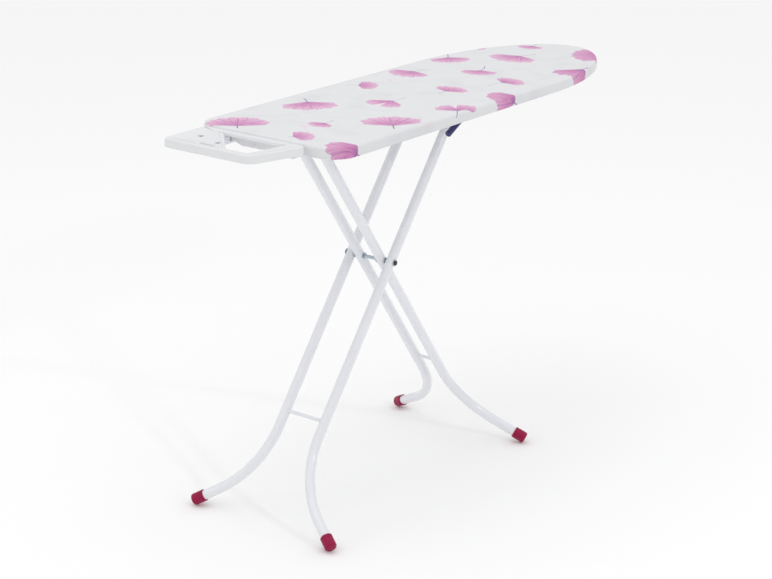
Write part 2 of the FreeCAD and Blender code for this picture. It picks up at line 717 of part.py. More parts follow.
def makeLever():
    x = sizes["leverX"]
    z = sizes["leverHeight"]
    farEnd = sizes["railOffset"] + sizes["railSheet"] + sizes["clipThickness"] + sizes["shaftReach"]
    bend = 3 * sizes["rodRadius"]
    arm = leverDirection()
    corner = FreeCAD.Vector(x, -sizes["leverSide"], z)
    bendIn = corner + FreeCAD.Vector(0, bend, 0)
    bendOut = corner + arm * bend
    centre = corner + FreeCAD.Vector(0, bend, 0) + arm * bend
    middle = centre - (FreeCAD.Vector(0, 1, 0) + arm) * (bend * math.sqrt(0.5))
    path = Part.Wire([
        Part.LineSegment(FreeCAD.Vector(x, farEnd, z), bendIn).toShape(),
        Part.Arc(bendIn, middle, bendOut).toShape(),
        Part.LineSegment(bendOut, corner + arm * (sizes["leverLength"] - sizes["gripCap"])).toShape(),
    ])
    section = Part.Wire(Part.Circle(FreeCAD.Vector(x, farEnd, z), FreeCAD.Vector(0, 1, 0),
                                    sizes["rodRadius"]).toShape())
    lever = doc.addObject("Part::Feature", "leverRod")
    lever.Shape = path.makePipeShell([section], True, False)
    node(lever, "release_lever")

    grip = doc.addObject("Part::Cylinder", "gripSleeve")
    bind(grip, Radius=cell("gripRadius"), Height=cell("gripLength"))
    turn = FreeCAD.Rotation(FreeCAD.Vector(0, 0, 1), arm)
    start = corner + arm * (sizes["leverLength"] - sizes["gripLength"])
    grip.Placement = FreeCAD.Placement(start, turn)
    rounded = roundEdges("gripRound", grip, lambda e: e.Closed, sizes["gripRound"])
    core = doc.addObject("Part::Cylinder", "gripCore")
    bind(core, Radius=cell("rodRadius"), Height="Sizes.gripLength - Sizes.gripCap")
    core.Placement = FreeCAD.Placement(start, turn)
    node(boolean("Cut", "grip", rounded, core), "lever_grip")

    fingers = []
    for i, side in enumerate((-1, 1)):
        y = side * sizes["fingerOffset"] - sizes["fingerSheet"] / 2
        bar = doc.addObject("Part::Box", "finger%d" % i)
        bind(bar, Length=cell("fingerReach"), Width=cell("fingerSheet"), Height=cell("fingerHeight"))
        place(bar, x, y, z - sizes["fingerHeight"] / 2)
        boss = alongY("fingerBoss%d" % i, "Sizes.rodRadius + Sizes.fingerBossWall", x, y, z,
                      cell("fingerSheet"))
        plate = boolean("Fuse", "fingerPlate%d" % i, bar, boss)
        bore = alongY("fingerBore%d" % i, cell("rodRadius"), x, y, z, cell("fingerSheet"))
        fingers.append(boolean("Cut", "latchFinger%d" % i, plate, bore))
    node(together("latchFingers", fingers), "latch_fingers")

    springStart = -sizes["railOffset"] - sizes["railSheet"] - sizes["springGap"] - sizes["springLength"]
    spring = ring("spring", cell("springRadius"), "Sizes.rodRadius + Sizes.runningGap", x, springStart, z,
                  cell("springLength"))
    node(spring, "lever_spring")
    node(ring("shaftClip", cell("washerRadius"), cell("rodRadius"), x, farEnd - 2 * sizes["clipThickness"], z,
              cell("clipThickness")), "shaft_clip")


# ---- iron rest ----------------------------------------------------------------------------------

def makeIronRest():
    body = doc.addObject("PartDesign::Body", "ironRestBody")
    plan = newSketch(body, "restPlan", "XY_Plane")
    outline(plan, (("restBoard", "restNearBoard"), ("restBoard", "restFarBoard"), ("restOuter", "restFarOuter"),
                   ("restOuter", "restNearOuter")))
    pad(body, "restSolid", plan, cell("restDepth"))

    corners = (
        ("restBoard", "restNearBoard", "restCornerBoard"),
        ("restBoard", "restFarBoard", "restCornerBoard"),
        ("restOuter", "restFarOuter", "restCornerFar"),
        ("restOuter", "restNearOuter", "restCornerNear"),
    )
    for i, (x, y, radius) in enumerate(corners):
        filletEdges(body, "restCorner%d" % i, uprightAt(sizes[x], sizes[y]), radius)
    top = sizes["restDepth"]
    filletEdges(body, "restTopRound", lambda e: e.BoundBox.ZMin > top - hair, "restEdge")

    under = newSketch(body, "restUnder", "XY_Plane")
    outline(under, (("restOpenBoard", "restInnerNearBoard"), ("restOpenBoard", "restInnerFar"),
                    ("restInnerOuter", "restInnerFar"), ("restInnerOuter", "restInnerNearOuter")))
    pocket(body, "restHollow", under, "Sizes.restDepth - Sizes.restWall", reverse=True)
    window = newSketch(body, "restWindow", "XY_Plane")
    outline(window, (("windowBoard", "windowNearBoard"), ("windowBoard", "windowFarBoard"),
                     ("windowOuter", "windowFarOuter"), ("windowOuter", "windowNearOuter")))
    pocket(body, "restWindowCut", window, "Sizes.restDepth + 1", reverse=True)
    for i, y in enumerate(("windowNearBoard", "windowNearOuter", "windowFarOuter")):
        x = "windowBoard" if i == 0 else "windowOuter"
        filletEdges(body, "restWindowCorner%d" % i, uprightAt(sizes[x], sizes[y]), "windowCorner")
    place(body, 0, 0, sizes["restLow"])

    cuts = []
    for i in (1, 2):
        x, y = sizes["screw%dX" % i], sizes["screw%dY" % i]
        recess = doc.addObject("Part::Cylinder", "screwRecess%d" % i)
        bind(recess, Radius="Sizes.screwRadius + Sizes.recessGap", Height="2 * Sizes.screwHead")
        place(recess, x, y, sizes["restTop"] - sizes["screwHead"])
        bore = doc.addObject("Part::Cylinder", "screwBore%d" % i)
        bind(bore, Radius=cell("screwShank"), Height=cell("restDepth"))
        place(bore, x, y, sizes["restLow"])
        cuts += [recess, bore]
    slot = doc.addObject("Part::Box", "ventSlot")
    bind(slot, Length=cell("ventWidth"), Width=cell("ventLength"), Height=cell("restDepth"))
    place(slot, sizes["ventX"], sizes["ventY"], sizes["restLow"])
    slot = roundEdges("ventRound", slot, isUpright, sizes["ventWidth"] / 2 - hair)
    openings = doc.addObject("Part::MultiFuse", "restCuts")
    openings.Shapes = cuts + [slot]
    node(boolean("Cut", "ironRest", body, openings), "iron_rest")


def makeRestFixings():
    screws = []
    for i in (1, 2):
        x, y = sizes["screw%dX" % i], sizes["screw%dY" % i]
        head = doc.addObject("Part::Cylinder", "screwHead%d" % i)
        bind(head, Radius=cell("screwRadius"), Height=cell("screwHead"))
        place(head, x, y, sizes["restTop"] - sizes["screwHead"])
        shank = doc.addObject("Part::Cylinder", "screwShank%d" % i)
        bind(shank, Radius=cell("screwShank"), Height=cell("screwLength"))
        place(shank, x, y, sizes["restTop"] - sizes["screwHead"] - sizes["screwLength"])
        screws.append(boolean("Fuse", "restScrew%d" % i, head, shank))
    node(together("restScrews", screws), "rest_screws")

    body = doc.addObject("PartDesign::Body", "restPlateBody")
    plate = newSketch(body, "restPlateOutline", "XY_Plane")
    outline(plate, (("plateBoard", "plateNearBoard"), ("plateBoard", "plateFar"), ("plateOuter", "plateFar"),
                    ("plateOuter", "plateNearOuter")))
    pad(body, "restPlateSolid", plate, cell("plateSteel"))
    place(body, 0, 0, sizes["restTop"] - sizes["restWall"] - sizes["plateSteel"])
    holes = []
    for i in (1, 2):
        hole = doc.addObject("Part::Cylinder", "plateHole%d" % i)
        bind(hole, Radius=cell("screwShank"), Height="4 * Sizes.plateSteel")
        place(hole, sizes["screw%dX" % i], sizes["screw%dY" % i], body.Placement.Base.z - sizes["plateSteel"])
        holes.append(hole)
    drilled = boolean("Cut", "plateDrilled", boolean("Cut", "plateDrilledOnce", body, holes[0]), holes[1])
    node(drilled, "rest_plate")

    for where, y in (("Near", -sizes["armNearSide"]), ("Far", sizes["armFarSide"])):
        label = "rest_arm_" + where.lower()
        arm = doc.addObject("PartDesign::Body", label + "Body")
        side = newSketch(arm, label + "Profile", "XZ_Plane")
        outline(side, (("arm%sTip" % where, "armTipLow"), ("armOuterKnee", "armLow"), ("armInnerEnd", "armLow"),
                       ("armInnerEnd", "panelUnder"), ("armRiser", "panelUnder"), ("armRiser", "armHemTop"),
                       ("armKnee", "armHemTop"), ("armKnee", "arm%sTop" % where),
                       ("arm%sTip" % where, "arm%sTop" % where)))
        pad(arm, label + "Blade", side, cell("armWidth"), midplane=True)
        place(arm, 0, y, 0)
        node(arm, label)


# ---- make everything, check it, write it --------------------------------------------------------

makeBoardPanel()
makePad()
makeCover()
makeHinge()
makeSlideRail(-1, "slide_rail_near")
makeSlideRail(1, "slide_rail_far")
makeLegs()
makePivot()
makeSlideRod()
makeLever()
makeIronRest()
makeRestFixings()
doc.recompute()

for thing in doc.Objects:
    if "Invalid" in thing.State or "Error" in thing.State:
        raise RuntimeError("%s failed: %s" % (thing.Name, thing.State))
for thing in nodes:
    if thing.Shape.isNull() or not thing.Shape.isValid() or not thing.Shape.Solids:
        raise RuntimeError(thing.Label + " has no valid solid")

os.makedirs("parts", exist_ok=True)
for thing in nodes:
    thing.Shape.exportStep(os.path.join("parts", thing.Label + ".step"))
    print("%-24s %d solid(s) %10.1f mm3" % (thing.Label, len(thing.Shape.Solids), thing.Shape.Volume))
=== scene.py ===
import bpy
import bmesh
import functools
import math
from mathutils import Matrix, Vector, noise


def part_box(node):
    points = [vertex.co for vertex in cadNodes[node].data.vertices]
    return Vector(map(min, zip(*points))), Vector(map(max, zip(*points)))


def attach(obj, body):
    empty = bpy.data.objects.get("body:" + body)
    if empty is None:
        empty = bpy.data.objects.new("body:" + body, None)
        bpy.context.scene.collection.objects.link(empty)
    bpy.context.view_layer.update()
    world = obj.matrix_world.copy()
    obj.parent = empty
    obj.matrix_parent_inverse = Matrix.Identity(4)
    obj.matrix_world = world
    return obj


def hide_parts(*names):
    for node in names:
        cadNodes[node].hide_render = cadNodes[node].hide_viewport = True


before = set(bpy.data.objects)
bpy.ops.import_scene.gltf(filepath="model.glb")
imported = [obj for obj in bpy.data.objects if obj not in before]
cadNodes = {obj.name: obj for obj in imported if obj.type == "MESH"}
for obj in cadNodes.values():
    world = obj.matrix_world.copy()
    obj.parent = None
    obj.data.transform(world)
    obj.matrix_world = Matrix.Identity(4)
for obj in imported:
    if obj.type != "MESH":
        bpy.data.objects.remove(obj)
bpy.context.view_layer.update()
millimetre = 0.001


# small tools shared by every piece

def toLinear(code):
    parts = [int(code[i:i + 2], 16) / 255 for i in (1, 3, 5)]
    return (*(((c + 0.055) / 1.055) ** 2.4 if c > 0.04045 else c / 12.92 for c in parts), 1.0)


def addNode(tree, kind, inputs=(), **settings):
    node = tree.nodes.new(kind)
    for name, value in settings.items():
        setattr(node, name, value)
    pairs = inputs.items() if isinstance(inputs, dict) else enumerate(inputs)
    for key, value in pairs:
        if isinstance(value, bpy.types.Node):
            value = value.outputs[0]
        if isinstance(value, bpy.types.NodeSocket):
            tree.links.new(value, node.inputs[key])
        elif value is not None:
            node.inputs[key].default_value = value
    return node


def startMaterial(name, **sockets):
    material = bpy.data.materials.new(name)
    material.use_nodes = True
    shader = material.node_tree.nodes["Principled BSDF"]
    for key, value in sockets.items():
        shader.inputs[key.replace("_", " ")].default_value = value
    return material, material.node_tree, shader


def meshPiece(name, points, faces, material, body, smooth=True):
    mesh = bpy.data.meshes.new(name)
    mesh.from_pydata(points, [], faces)
    mesh.update()
    piece = bpy.data.objects.new(name, mesh)
    bpy.context.scene.collection.objects.link(piece)
    finishPiece(piece, material, body, smooth)
    return piece


def finishPiece(piece, material, body, smooth=True):
    piece.data.materials.clear()
    piece.data.materials.append(material)
    for face in piece.data.polygons:
        face.use_smooth = smooth
    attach(piece, body)


# camera, light and floor

cameraSetup = {
    "place": (-3.4495, -2.5289, 1.8476),
    "turn": (71.3106, -0.4155, -52.7531),
    "lens": 90.8,
    "sensor": 36.0,
}
lightSetup = {
    "key": {"place": (-0.5, -4.2, 3.0), "power": 17.0, "size": 0.28},
    "overhead": {"place": (-0.6, 0.4, 3.6), "power": 8.0, "size": 2.4},
    "rim": {"place": (-3.6, 1.8, 1.6), "power": 5.0, "size": 0.6},
    "aim": (0.0, 0.0, 0.5),
    "world": "#FFFFFF",
    "horizon": 0.48,
    "zenith": 1.17,
    "floor": "#FCFCFC",
    "floorRadius": 60.0,
}


def addCamera(setup):
    data = bpy.data.cameras.new("camera")
    data.lens = setup["lens"]
    data.sensor_width = setup["sensor"]
    camera = bpy.data.objects.new("camera", data)
    camera.location = setup["place"]
    camera.rotation_euler = [math.radians(a) for a in setup["turn"]]
    bpy.context.scene.collection.objects.link(camera)
    bpy.context.scene.camera = camera


def addLight(name, setup, aim):
    data = bpy.data.lights.new(name, "AREA")
    data.energy = setup["power"]
    data.shape = "DISK"
    data.size = setup["size"]
    light = bpy.data.objects.new(name, data)
    light.location = setup["place"]
    light.rotation_euler = (Vector(aim) - Vector(setup["place"])).to_track_quat("-Z", "Y").to_euler()
    bpy.context.scene.collection.objects.link(light)


def addFloor(setup):
    radius = setup["floorRadius"]
    corners = [(-radius, -radius, 0), (radius, -radius, 0), (radius, radius, 0), (-radius, radius, 0)]
    mesh = bpy.data.meshes.new("floor")
    mesh.from_pydata(corners, [], [(0, 1, 2, 3)])
    floor = bpy.data.objects.new("floor", mesh)
    bpy.context.scene.collection.objects.link(floor)
    material, tree, shader = startMaterial("plain_floor", Roughness=0.9)
    shader.inputs["Base Color"].default_value = toLinear(setup["floor"])
    mesh.materials.append(material)
    world = bpy.data.worlds.new("studio")
    world.use_nodes = True
    backdrop = world.node_tree.nodes["Background"]
    backdrop.inputs["Color"].default_value = toLinear(setup["world"])
    # the studio is brighter overhead than at the horizon
    sky = addNode(world.node_tree, "ShaderNodeTexCoord").outputs["Generated"]
    height = addNode(world.node_tree, "ShaderNodeSeparateXYZ", (sky,)).outputs[2]
    addNode(world.node_tree, "ShaderNodeMapRange", {
        "Value": height, "To Min": setup["horizon"], "To Max": setup["zenith"]}, name="brightness")
    world.node_tree.links.new(world.node_tree.nodes["brightness"].outputs[0], backdrop.inputs["Strength"])
    bpy.context.scene.world = world


bpy.context.scene.view_settings.view_transform = "Standard"
addCamera(cameraSetup)
for lightName in ("key", "overhead", "rim"):
    addLight(lightName, lightSetup[lightName], lightSetup["aim"])
addFloor(lightSetup)
print("camera, light and floor are in place")


# finishes of the metal and moulded pieces

powderCoat = {
    "colour": "#ECEDF1", "shade": "#E5E6EC", "roughness": (0.20, 0.28), "peel": 2.2, "cloud": 70.0,
}
zincPlate = {"colour": "#C6D0DA", "shade": "#A9B5C2", "roughness": (0.28, 0.46), "grain": 3.0}
footPlastic = {
    "colour": "#A00A48", "shade": "#8A063A", "roughness": (0.30, 0.42), "grain": 1.2, "cloud": 14.0,
}
capPlastic = {"colour": "#17171A", "shade": "#222226", "roughness": (0.35, 0.5), "grain": 1.0, "cloud": 9.0}
gripPlastic = {
    "colour": "#2F2A6B", "shade": "#262159", "roughness": (0.38, 0.52), "grain": 1.2, "cloud": 12.0,
}
restPlastic = {
    "colour": "#E6E8EA", "shade": "#E0E2E4", "roughness": (0.30, 0.42), "grain": 1.4, "cloud": 60.0,
}
feltWool = {"colour": "#C9C7C0", "shade": "#B4B1A9", "fibre": 1.5}


def mottled(tree, shader, look, cloud, roughness):
    # a slow noise moves the colour and the gloss a little, as on any moulded or coated surface
    place = addNode(tree, "ShaderNodeTexCoord").outputs["Object"]
    slow = addNode(tree, "ShaderNodeTexNoise", {
        "Vector": place, "Scale": 1 / (cloud * millimetre), "Detail": 3.0})
    tint = addNode(tree, "ShaderNodeMix", {"Factor": slow.outputs["Fac"]}, data_type="RGBA")
    tint.inputs[6].default_value = toLinear(look["colour"])
    tint.inputs[7].default_value = toLinear(look["shade"])
    tree.links.new(tint.outputs[2], shader.inputs["Base Color"])
    gloss = addNode(tree, "ShaderNodeMapRange", {
        "Value": slow.outputs["Fac"], "From Min": 0.3, "From Max": 0.7,
        "To Min": roughness[0], "To Max": roughness[1]})
    tree.links.new(gloss.outputs["Result"], shader.inputs["Roughness"])
    return place


def grained(tree, shader, place, size, strength, distance):
    fine = addNode(tree, "ShaderNodeTexNoise", {
        "Vector": place, "Scale": 1 / (size * millimetre), "Detail": 2.0})
    bump = addNode(tree, "ShaderNodeBump", {
        "Height": fine.outputs["Fac"], "Strength": strength, "Distance": distance * millimetre})
    tree.links.new(bump.outputs["Normal"], shader.inputs["Normal"])


def makePowderCoat(look):
    # polyester powder baked on steel: satin white, with an orange peel that softens the highlights;
    # the peel is drawn coarser than the real one, about 1 mm, so that it shows
    material, tree, shader = startMaterial(
        "polyester_powder_coat", IOR=1.5, Coat_Weight=0.4, Coat_Roughness=0.08)
    place = mottled(tree, shader, look, look["cloud"], look["roughness"])
    grained(tree, shader, place, look["peel"], 0.25, 0.12)
    return material


def makeZincPlate(look):
    # bright zinc plate on steel wire: a cool blue-grey metal with a faint crystalline mottle
    material, tree, shader = startMaterial("bright_zinc_plate", Metallic=1.0)
    place = mottled(tree, shader, look, look["grain"] * 4, look["roughness"])
    grained(tree, shader, place, look["grain"], 0.2, 0.05)
    return material


def makeMoulded(name, look, coat, gloss=0.5):
    # injection-moulded polypropylene: even colour, soft gloss, fine spark-eroded grain
    material, tree, shader = startMaterial(name, IOR=1.49, Coat_Weight=coat, Coat_Roughness=0.2,
                                           Specular_IOR_Level=gloss)
    place = mottled(tree, shader, look, look["cloud"], look["roughness"])
    grained(tree, shader, place, look["grain"], 0.18, 0.08)
    return material


def makeFelt(look):
    # needled felt of mixed fibres: matt, fluffy, with darker flecks
    material, tree, shader = startMaterial("needled_felt", Sheen_Weight=0.3, Sheen_Roughness=0.6)
    place = mottled(tree, shader, look, look["fibre"] * 3, (0.9, 1.0))
    grained(tree, shader, place, look["fibre"], 0.8, 0.6)
    return material


whitePowderCoat = makePowderCoat(powderCoat)
zincPlatedSteel = makeZincPlate(zincPlate)
crimsonPlastic = makeMoulded("crimson_polypropylene", footPlastic, 0.02, 0.25)
blackPlastic = makeMoulded("black_polypropylene", capPlastic, 0.1)
navyPlastic = makeMoulded("navy_polypropylene", gripPlastic, 0.15)
whitePlastic = makeMoulded("white_polypropylene", restPlastic, 0.2)
needledFelt = makeFelt(feltWool)

slotFinish = {
    "white_powder_coat": whitePowderCoat,
    "zinc_plated_steel": zincPlatedSteel,
    "crimson_foot_plastic": crimsonPlastic,
    "black_cap_plastic": blackPlastic,
    "navy_grip_plastic": navyPlastic,
    "white_rest_plastic": whitePlastic,
    "felt": needledFelt,
}
for node in cadNodes.values():
    slotName = node.data.materials[0].name
    if slotName in slotFinish:
        node.data.materials[0] = slotFinish[slotName]
print("finishes are on the hard pieces")


# the board's outline, shared by the cover, the pad and the panel

boardShape = {"noseLength": 0.394, "cornerRadius": 0.055, "steps": 500}
coverLow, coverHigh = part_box("cover")


def rawOutline(shape):
    # anticlockwise from the middle of the square end: a corner, a side, half an ellipse, and back
    endX, tipX = coverLow.x, coverHigh.x
    half, radius = coverHigh.y, shape["cornerRadius"]
    noseX = tipX - shape["noseLength"]
    points = [Vector((endX, 0))]
    for k in range(41):
        turn = math.radians(180 + 90 * k / 40)
        points.append(Vector((endX + radius + radius * math.cos(turn),
                              -half + radius + radius * math.sin(turn))))
    for k in range(241):
        turn = math.radians(-90 + 180 * k / 240)
        points.append(Vector((noseX + shape["noseLength"] * math.cos(turn), half * math.sin(turn))))
    for k in range(41):
        turn = math.radians(90 + 90 * k / 40)
        points.append(Vector((endX + radius + radius * math.cos(turn),
                              half - radius + radius * math.sin(turn))))
    return points + [Vector((endX, 0))]


def evenOutline(shape):
    # the same outline at even steps, each with its outward normal and its distance round from the start
    raw = rawOutline(shape)
    reach = [0.0]
    for a, b in zip(raw, raw[1:]):
        reach.append(reach[-1] + (b - a).length)
    total, found, i = reach[-1], [], 0
    for k in range(shape["steps"]):
        want = total * k / shape["steps"]
        while reach[i + 1] < want:
            i += 1
        share = (want - reach[i]) / max(reach[i + 1] - reach[i], 1e-9)
        found.append((raw[i].lerp(raw[i + 1], share), want))
    result = []
    for k, (point, want) in enumerate(found):
        along = found[(k + 1) % len(found)][0] - found[k - 1][0]
        result.append((point, Vector((along.y, -along.x)).normalized(), want))
    return result


boardOutline = evenOutline(boardShape)


def spinePoint(point):
    # the line along the middle that the top's rings shrink to
    return Vector((min(max(point.x, coverLow.x + 0.17), coverHigh.x - 0.30), 0))


def ringFaces(ringCount, steps, closed=False):
    faces = []
    for ring in range(ringCount if closed else ringCount - 1):
        here, there = ring * steps, (ring + 1) % ringCount * steps
        for k in range(steps):
            after = (k + 1) % steps
            faces.append((here + k, there + k, there + after, here + after))
    return faces


# the printed cotton cover

coverShape = {
    "edge": 6.0, "turn": 3.0, "hem": 30.0, "thickness": 0.8, "topRings": 27,
    "restWave": 0.35, "waveLength": 90.0,
    "puckerEnd": 2.6, "puckerSide": 0.3, "puckerNose": 1.2, "puckerLength": 17.0,
    "flap": 9.0, "flapHalf": 78.0,
}


def smoothStep(low, high, value):
    share = min(max((value - low) / (high - low), 0.0), 1.0)
    return share * share * (3 - 2 * share)


def coverProfile(shape):
    # (inset, height below the top, cloth distance from the start of the edge), in millimetres
    edge, turn = shape["edge"], shape["turn"]
    depth = (coverHigh.z - coverLow.z) / millimetre
    rows = []
    for k in range(6):
        bend = math.radians(90 * k / 5)
        rows.append((edge - edge * math.sin(bend), edge - edge * math.cos(bend), edge * bend))
    straight = depth - edge - turn
    for k in range(1, 7):
        rows.append((0.0, edge + straight * k / 6, edge * math.pi / 2 + straight * k / 6))
    reach = edge * math.pi / 2 + straight
    for k in range(1, 4):
        bend = math.radians(30 * k)
        rows.append((turn - turn * math.cos(bend), depth - turn + turn * math.sin(bend),
                     reach + turn * bend))
    reach += turn * math.pi / 2
    for k in range(1, 9):
        rows.append((turn + (shape["hem"] - turn) * k / 8, depth, reach + (shape["hem"] - turn) * k / 8))
    return rows


def puckerHere(shape, point, girth, down, inset):
    # how far the gathered cloth stands out or in: strong at the square end and round the nose
    nearEnd = 1 - smoothStep(0.0, 0.07, point.x - coverLow.x)
    nearNose = smoothStep(0.30, 0.0, coverHigh.x - point.x)
    size = shape["puckerSide"] + (shape["puckerEnd"] - shape["puckerSide"]) * nearEnd
    size += (shape["puckerNose"] - shape["puckerSide"]) * nearNose * (1 - nearEnd)
    grow = smoothStep(3.0, 24.0, down) * 0.55 + smoothStep(0.0, 26.0, inset if down > 22 else 0.0) * 0.45
    wave = girth / (shape["puckerLength"] * millimetre)
    drift = noise.noise(Vector((girth * 30, down * 0.03, 1.7))) * 1.6
    folds = math.sin(2 * math.pi * (wave + drift)) + 0.4 * math.sin(2 * math.pi * (wave * 2.3 - drift))
    return size * grow * folds


def flapHere(shape, point, girth, down, inset):
    # along the square end, between the rest's two arms, the gathered cloth hangs lower and uneven
    atEnd = 1 - smoothStep(0.004, 0.03, point.x - coverLow.x)
    between = 1 - smoothStep(shape["flapHalf"] - 12, shape["flapHalf"], abs(point.y) / millimetre)
    uneven = 0.75 + 0.5 * noise.noise(Vector((girth * 22, 4.1, 0.0)))
    loose = smoothStep(10.0, 24.0, down) * (1 - smoothStep(8.0, 30.0, inset))
    return shape["flap"] * atEnd * between * uneven * loose


def coverPoints(shape):
    points, flat = [], []
    top = coverHigh.z
    edgeStart = [(point - normal * shape["edge"] * millimetre) for point, normal, girth in boardOutline]
    rings = shape["topRings"]
    for ring in range(rings):
        share = ring / (rings - 1)
        for k, start in enumerate(edgeStart):
            plan = spinePoint(boardOutline[k][0]).lerp(start, share)
            wave = noise.noise(Vector((plan.x, plan.y, 0.3)) / (shape["waveLength"] * millimetre))
            lift = -abs(wave) * shape["restWave"] * (1 - smoothStep(0.9, 1.0, share))
            points.append((plan.x, plan.y, top + lift * millimetre))
            flat.append((plan.x, plan.y))
    for inset, down, cloth in coverProfile(shape)[1:]:
        for k, (point, normal, girth) in enumerate(boardOutline):
            out = puckerHere(shape, point, girth, down, inset)
            level = smoothStep(4.0, 10.0, inset) if down > 20 else 0.0
            plan = point - normal * (inset - out * (1 - level)) * millimetre
            rise = abs(out) * level * 1.2
            droop = flapHere(shape, point, girth, down, inset)
            points.append((plan.x, plan.y, top - (down - rise + droop) * millimetre))
            spread = edgeStart[k] + normal * cloth * millimetre
            flat.append((spread.x, spread.y))
    return points, flat, rings + len(coverProfile(shape)) - 1


# each printed leaf is a fan: base of the fan, which way it opens, its reach, its spread, and its stem's end
printLeaves = [
    {"base": (-490, 101), "turn": 40, "reach": 73, "spread": 170, "stem": (-506, 86)},
    {"base": (-232, 125), "turn": -131, "reach": 74, "spread": 142, "stem": (-212, 152)},
    {"base": (-32, 139), "turn": -50, "reach": 45, "spread": 150, "stem": (-54, 165), "faint": 0.5},
    {"base": (-106, -13), "turn": 180, "reach": 60, "spread": 125,
     "stem": (-60, -17), "cleft": 1, "faint": 0.5},
    {"base": (-358, -27), "turn": 180, "reach": 36, "spread": 140, "stem": (-328, -24), "eye": 1},
    {"base": (-488, -49), "turn": -35, "reach": 44, "spread": 150, "stem": (-497, -43)},
    {"base": (-286, -151), "turn": 44, "reach": 78, "spread": 143, "stem": (-306, -170)},
    {"base": (-462, -212), "turn": 150, "reach": 78, "spread": 120,
     "stem": (-430, -222), "eye": 1, "deep": 1},
    {"base": (-92, -179), "turn": 45, "reach": 55, "spread": 150,
     "stem": (-120, -200), "cleft": 1, "eye": 1},
    {"base": (106, -208), "turn": 140, "reach": 72, "spread": 110, "stem": (130, -222), "eye": 1, "deep": 1},
    {"base": (44, -49), "turn": 0, "reach": 50, "spread": 140, "stem": (14, -52), "faint": 0.5},
    {"base": (166, 129), "turn": 180, "reach": 60, "spread": 154, "stem": (204, 125), "faint": 0.5},
    {"base": (344, 159), "turn": -130, "reach": 58, "spread": 149, "stem": (384, 195)},
    {"base": (274, 13), "turn": -160, "reach": 50, "spread": 150, "stem": (320, 35)},
    {"base": (198, -99), "turn": -20, "reach": 50, "spread": 145,
     "stem": (152, -93), "eye": 1, "faint": 0.6},
    {"base": (470, 33), "turn": 180, "reach": 73, "spread": 143, "stem": (512, 13), "faint": 0.6},
    {"base": (480, 175), "turn": -40, "reach": 30, "spread": 150, "stem": (470, 185), "faint": 0.5},
    {"base": (590, 75), "turn": 190, "reach": 38, "spread": 150, "stem": (632, 89), "eye": 1},
    {"base": (434, -165), "turn": 204, "reach": 80, "spread": 134, "stem": (462, -166), "eye": 1, "deep": 1},
    {"base": (611, -130), "turn": 124, "reach": 88, "spread": 128, "stem": (616, -150), "deep": 1},
    {"base": (-140, 210), "turn": -60, "reach": 22, "spread": 150, "stem": (-150, 216), "faint": 0.4},
]


def nearestLeaf(x, y):
    best, choice = 1e9, None
    for leaf in printLeaves:
        turn = math.radians(leaf["turn"])
        dx = x - leaf["base"][0] - 0.4 * leaf["reach"] * math.cos(turn)
        dy = y - leaf["base"][1] - 0.4 * leaf["reach"] * math.sin(turn)
        away = math.hypot(dx, dy) - leaf["reach"]
        if away < best:
            best, choice = away, leaf
    return choice


def printOnCover(mesh, flat):
    # every face keeps, in its own UV maps, where it lies on the flat cloth and on its nearest leaf
    for name in ("cloth", "leaf"):
        mesh.uv_layers.new(name=name)
    for name, form in (("leafKind", "FLOAT_COLOR"), ("leafStem", "FLOAT_VECTOR"), ("leafInk", "FLOAT")):
        mesh.attributes.new(name, form, "CORNER")
    cloth, leafMap = mesh.uv_layers["cloth"], mesh.uv_layers["leaf"]
    kind, stalk, strength = (mesh.attributes[name] for name in ("leafKind", "leafStem", "leafInk"))
    for face in mesh.polygons:
        spots = [flat[v] for v in face.vertices]
        x = sum(s[0] for s in spots) / len(spots) / millimetre
        y = sum(s[1] for s in spots) / len(spots) / millimetre
        leaf = nearestLeaf(x, y)
        reach, turn = leaf["reach"], math.radians(leaf["turn"])
        c, s = math.cos(turn), math.sin(turn)
        sx, sy = leaf["stem"][0] - leaf["base"][0], leaf["stem"][1] - leaf["base"][1]
        stemX, stemY = (sx * c + sy * s) / reach, (sy * c - sx * s) / reach
        stemLength = math.hypot(stemX, stemY)
        for loop, (px, py) in zip(face.loop_indices, spots):
            dx, dy = px / millimetre - leaf["base"][0], py / millimetre - leaf["base"][1]
            cloth.data[loop].uv = (px, py)
            leafMap.data[loop].uv = ((dx * c + dy * s) / reach, (dy * c - dx * s) / reach)
            kind.data[loop].color = (math.radians(leaf["spread"]) / 2, leaf.get("eye", 0),
                                     leaf.get("cleft", 0), leaf.get("deep", 0))
            stalk.data[loop].vector = (stemX / stemLength, stemY / stemLength, stemLength)
            strength.data[loop].value = leaf.get("faint", 1.0)


# the second grey of the cloth is painted crease shade, a slightly darker grey that stands in for the shade in
# creases
cottonLook = {
    "ground": "#DFE0E2", "paintedCreaseShade": "#D9DADD", "petal": "#E4AACD", "petalDeep": "#BC5AA2",
    "petalPale": "#EFDAE9", "vein": "#8A4596", "swirl": "#E6D2E1", "thread": 1.4, "swirlWidth": 0.006,
}


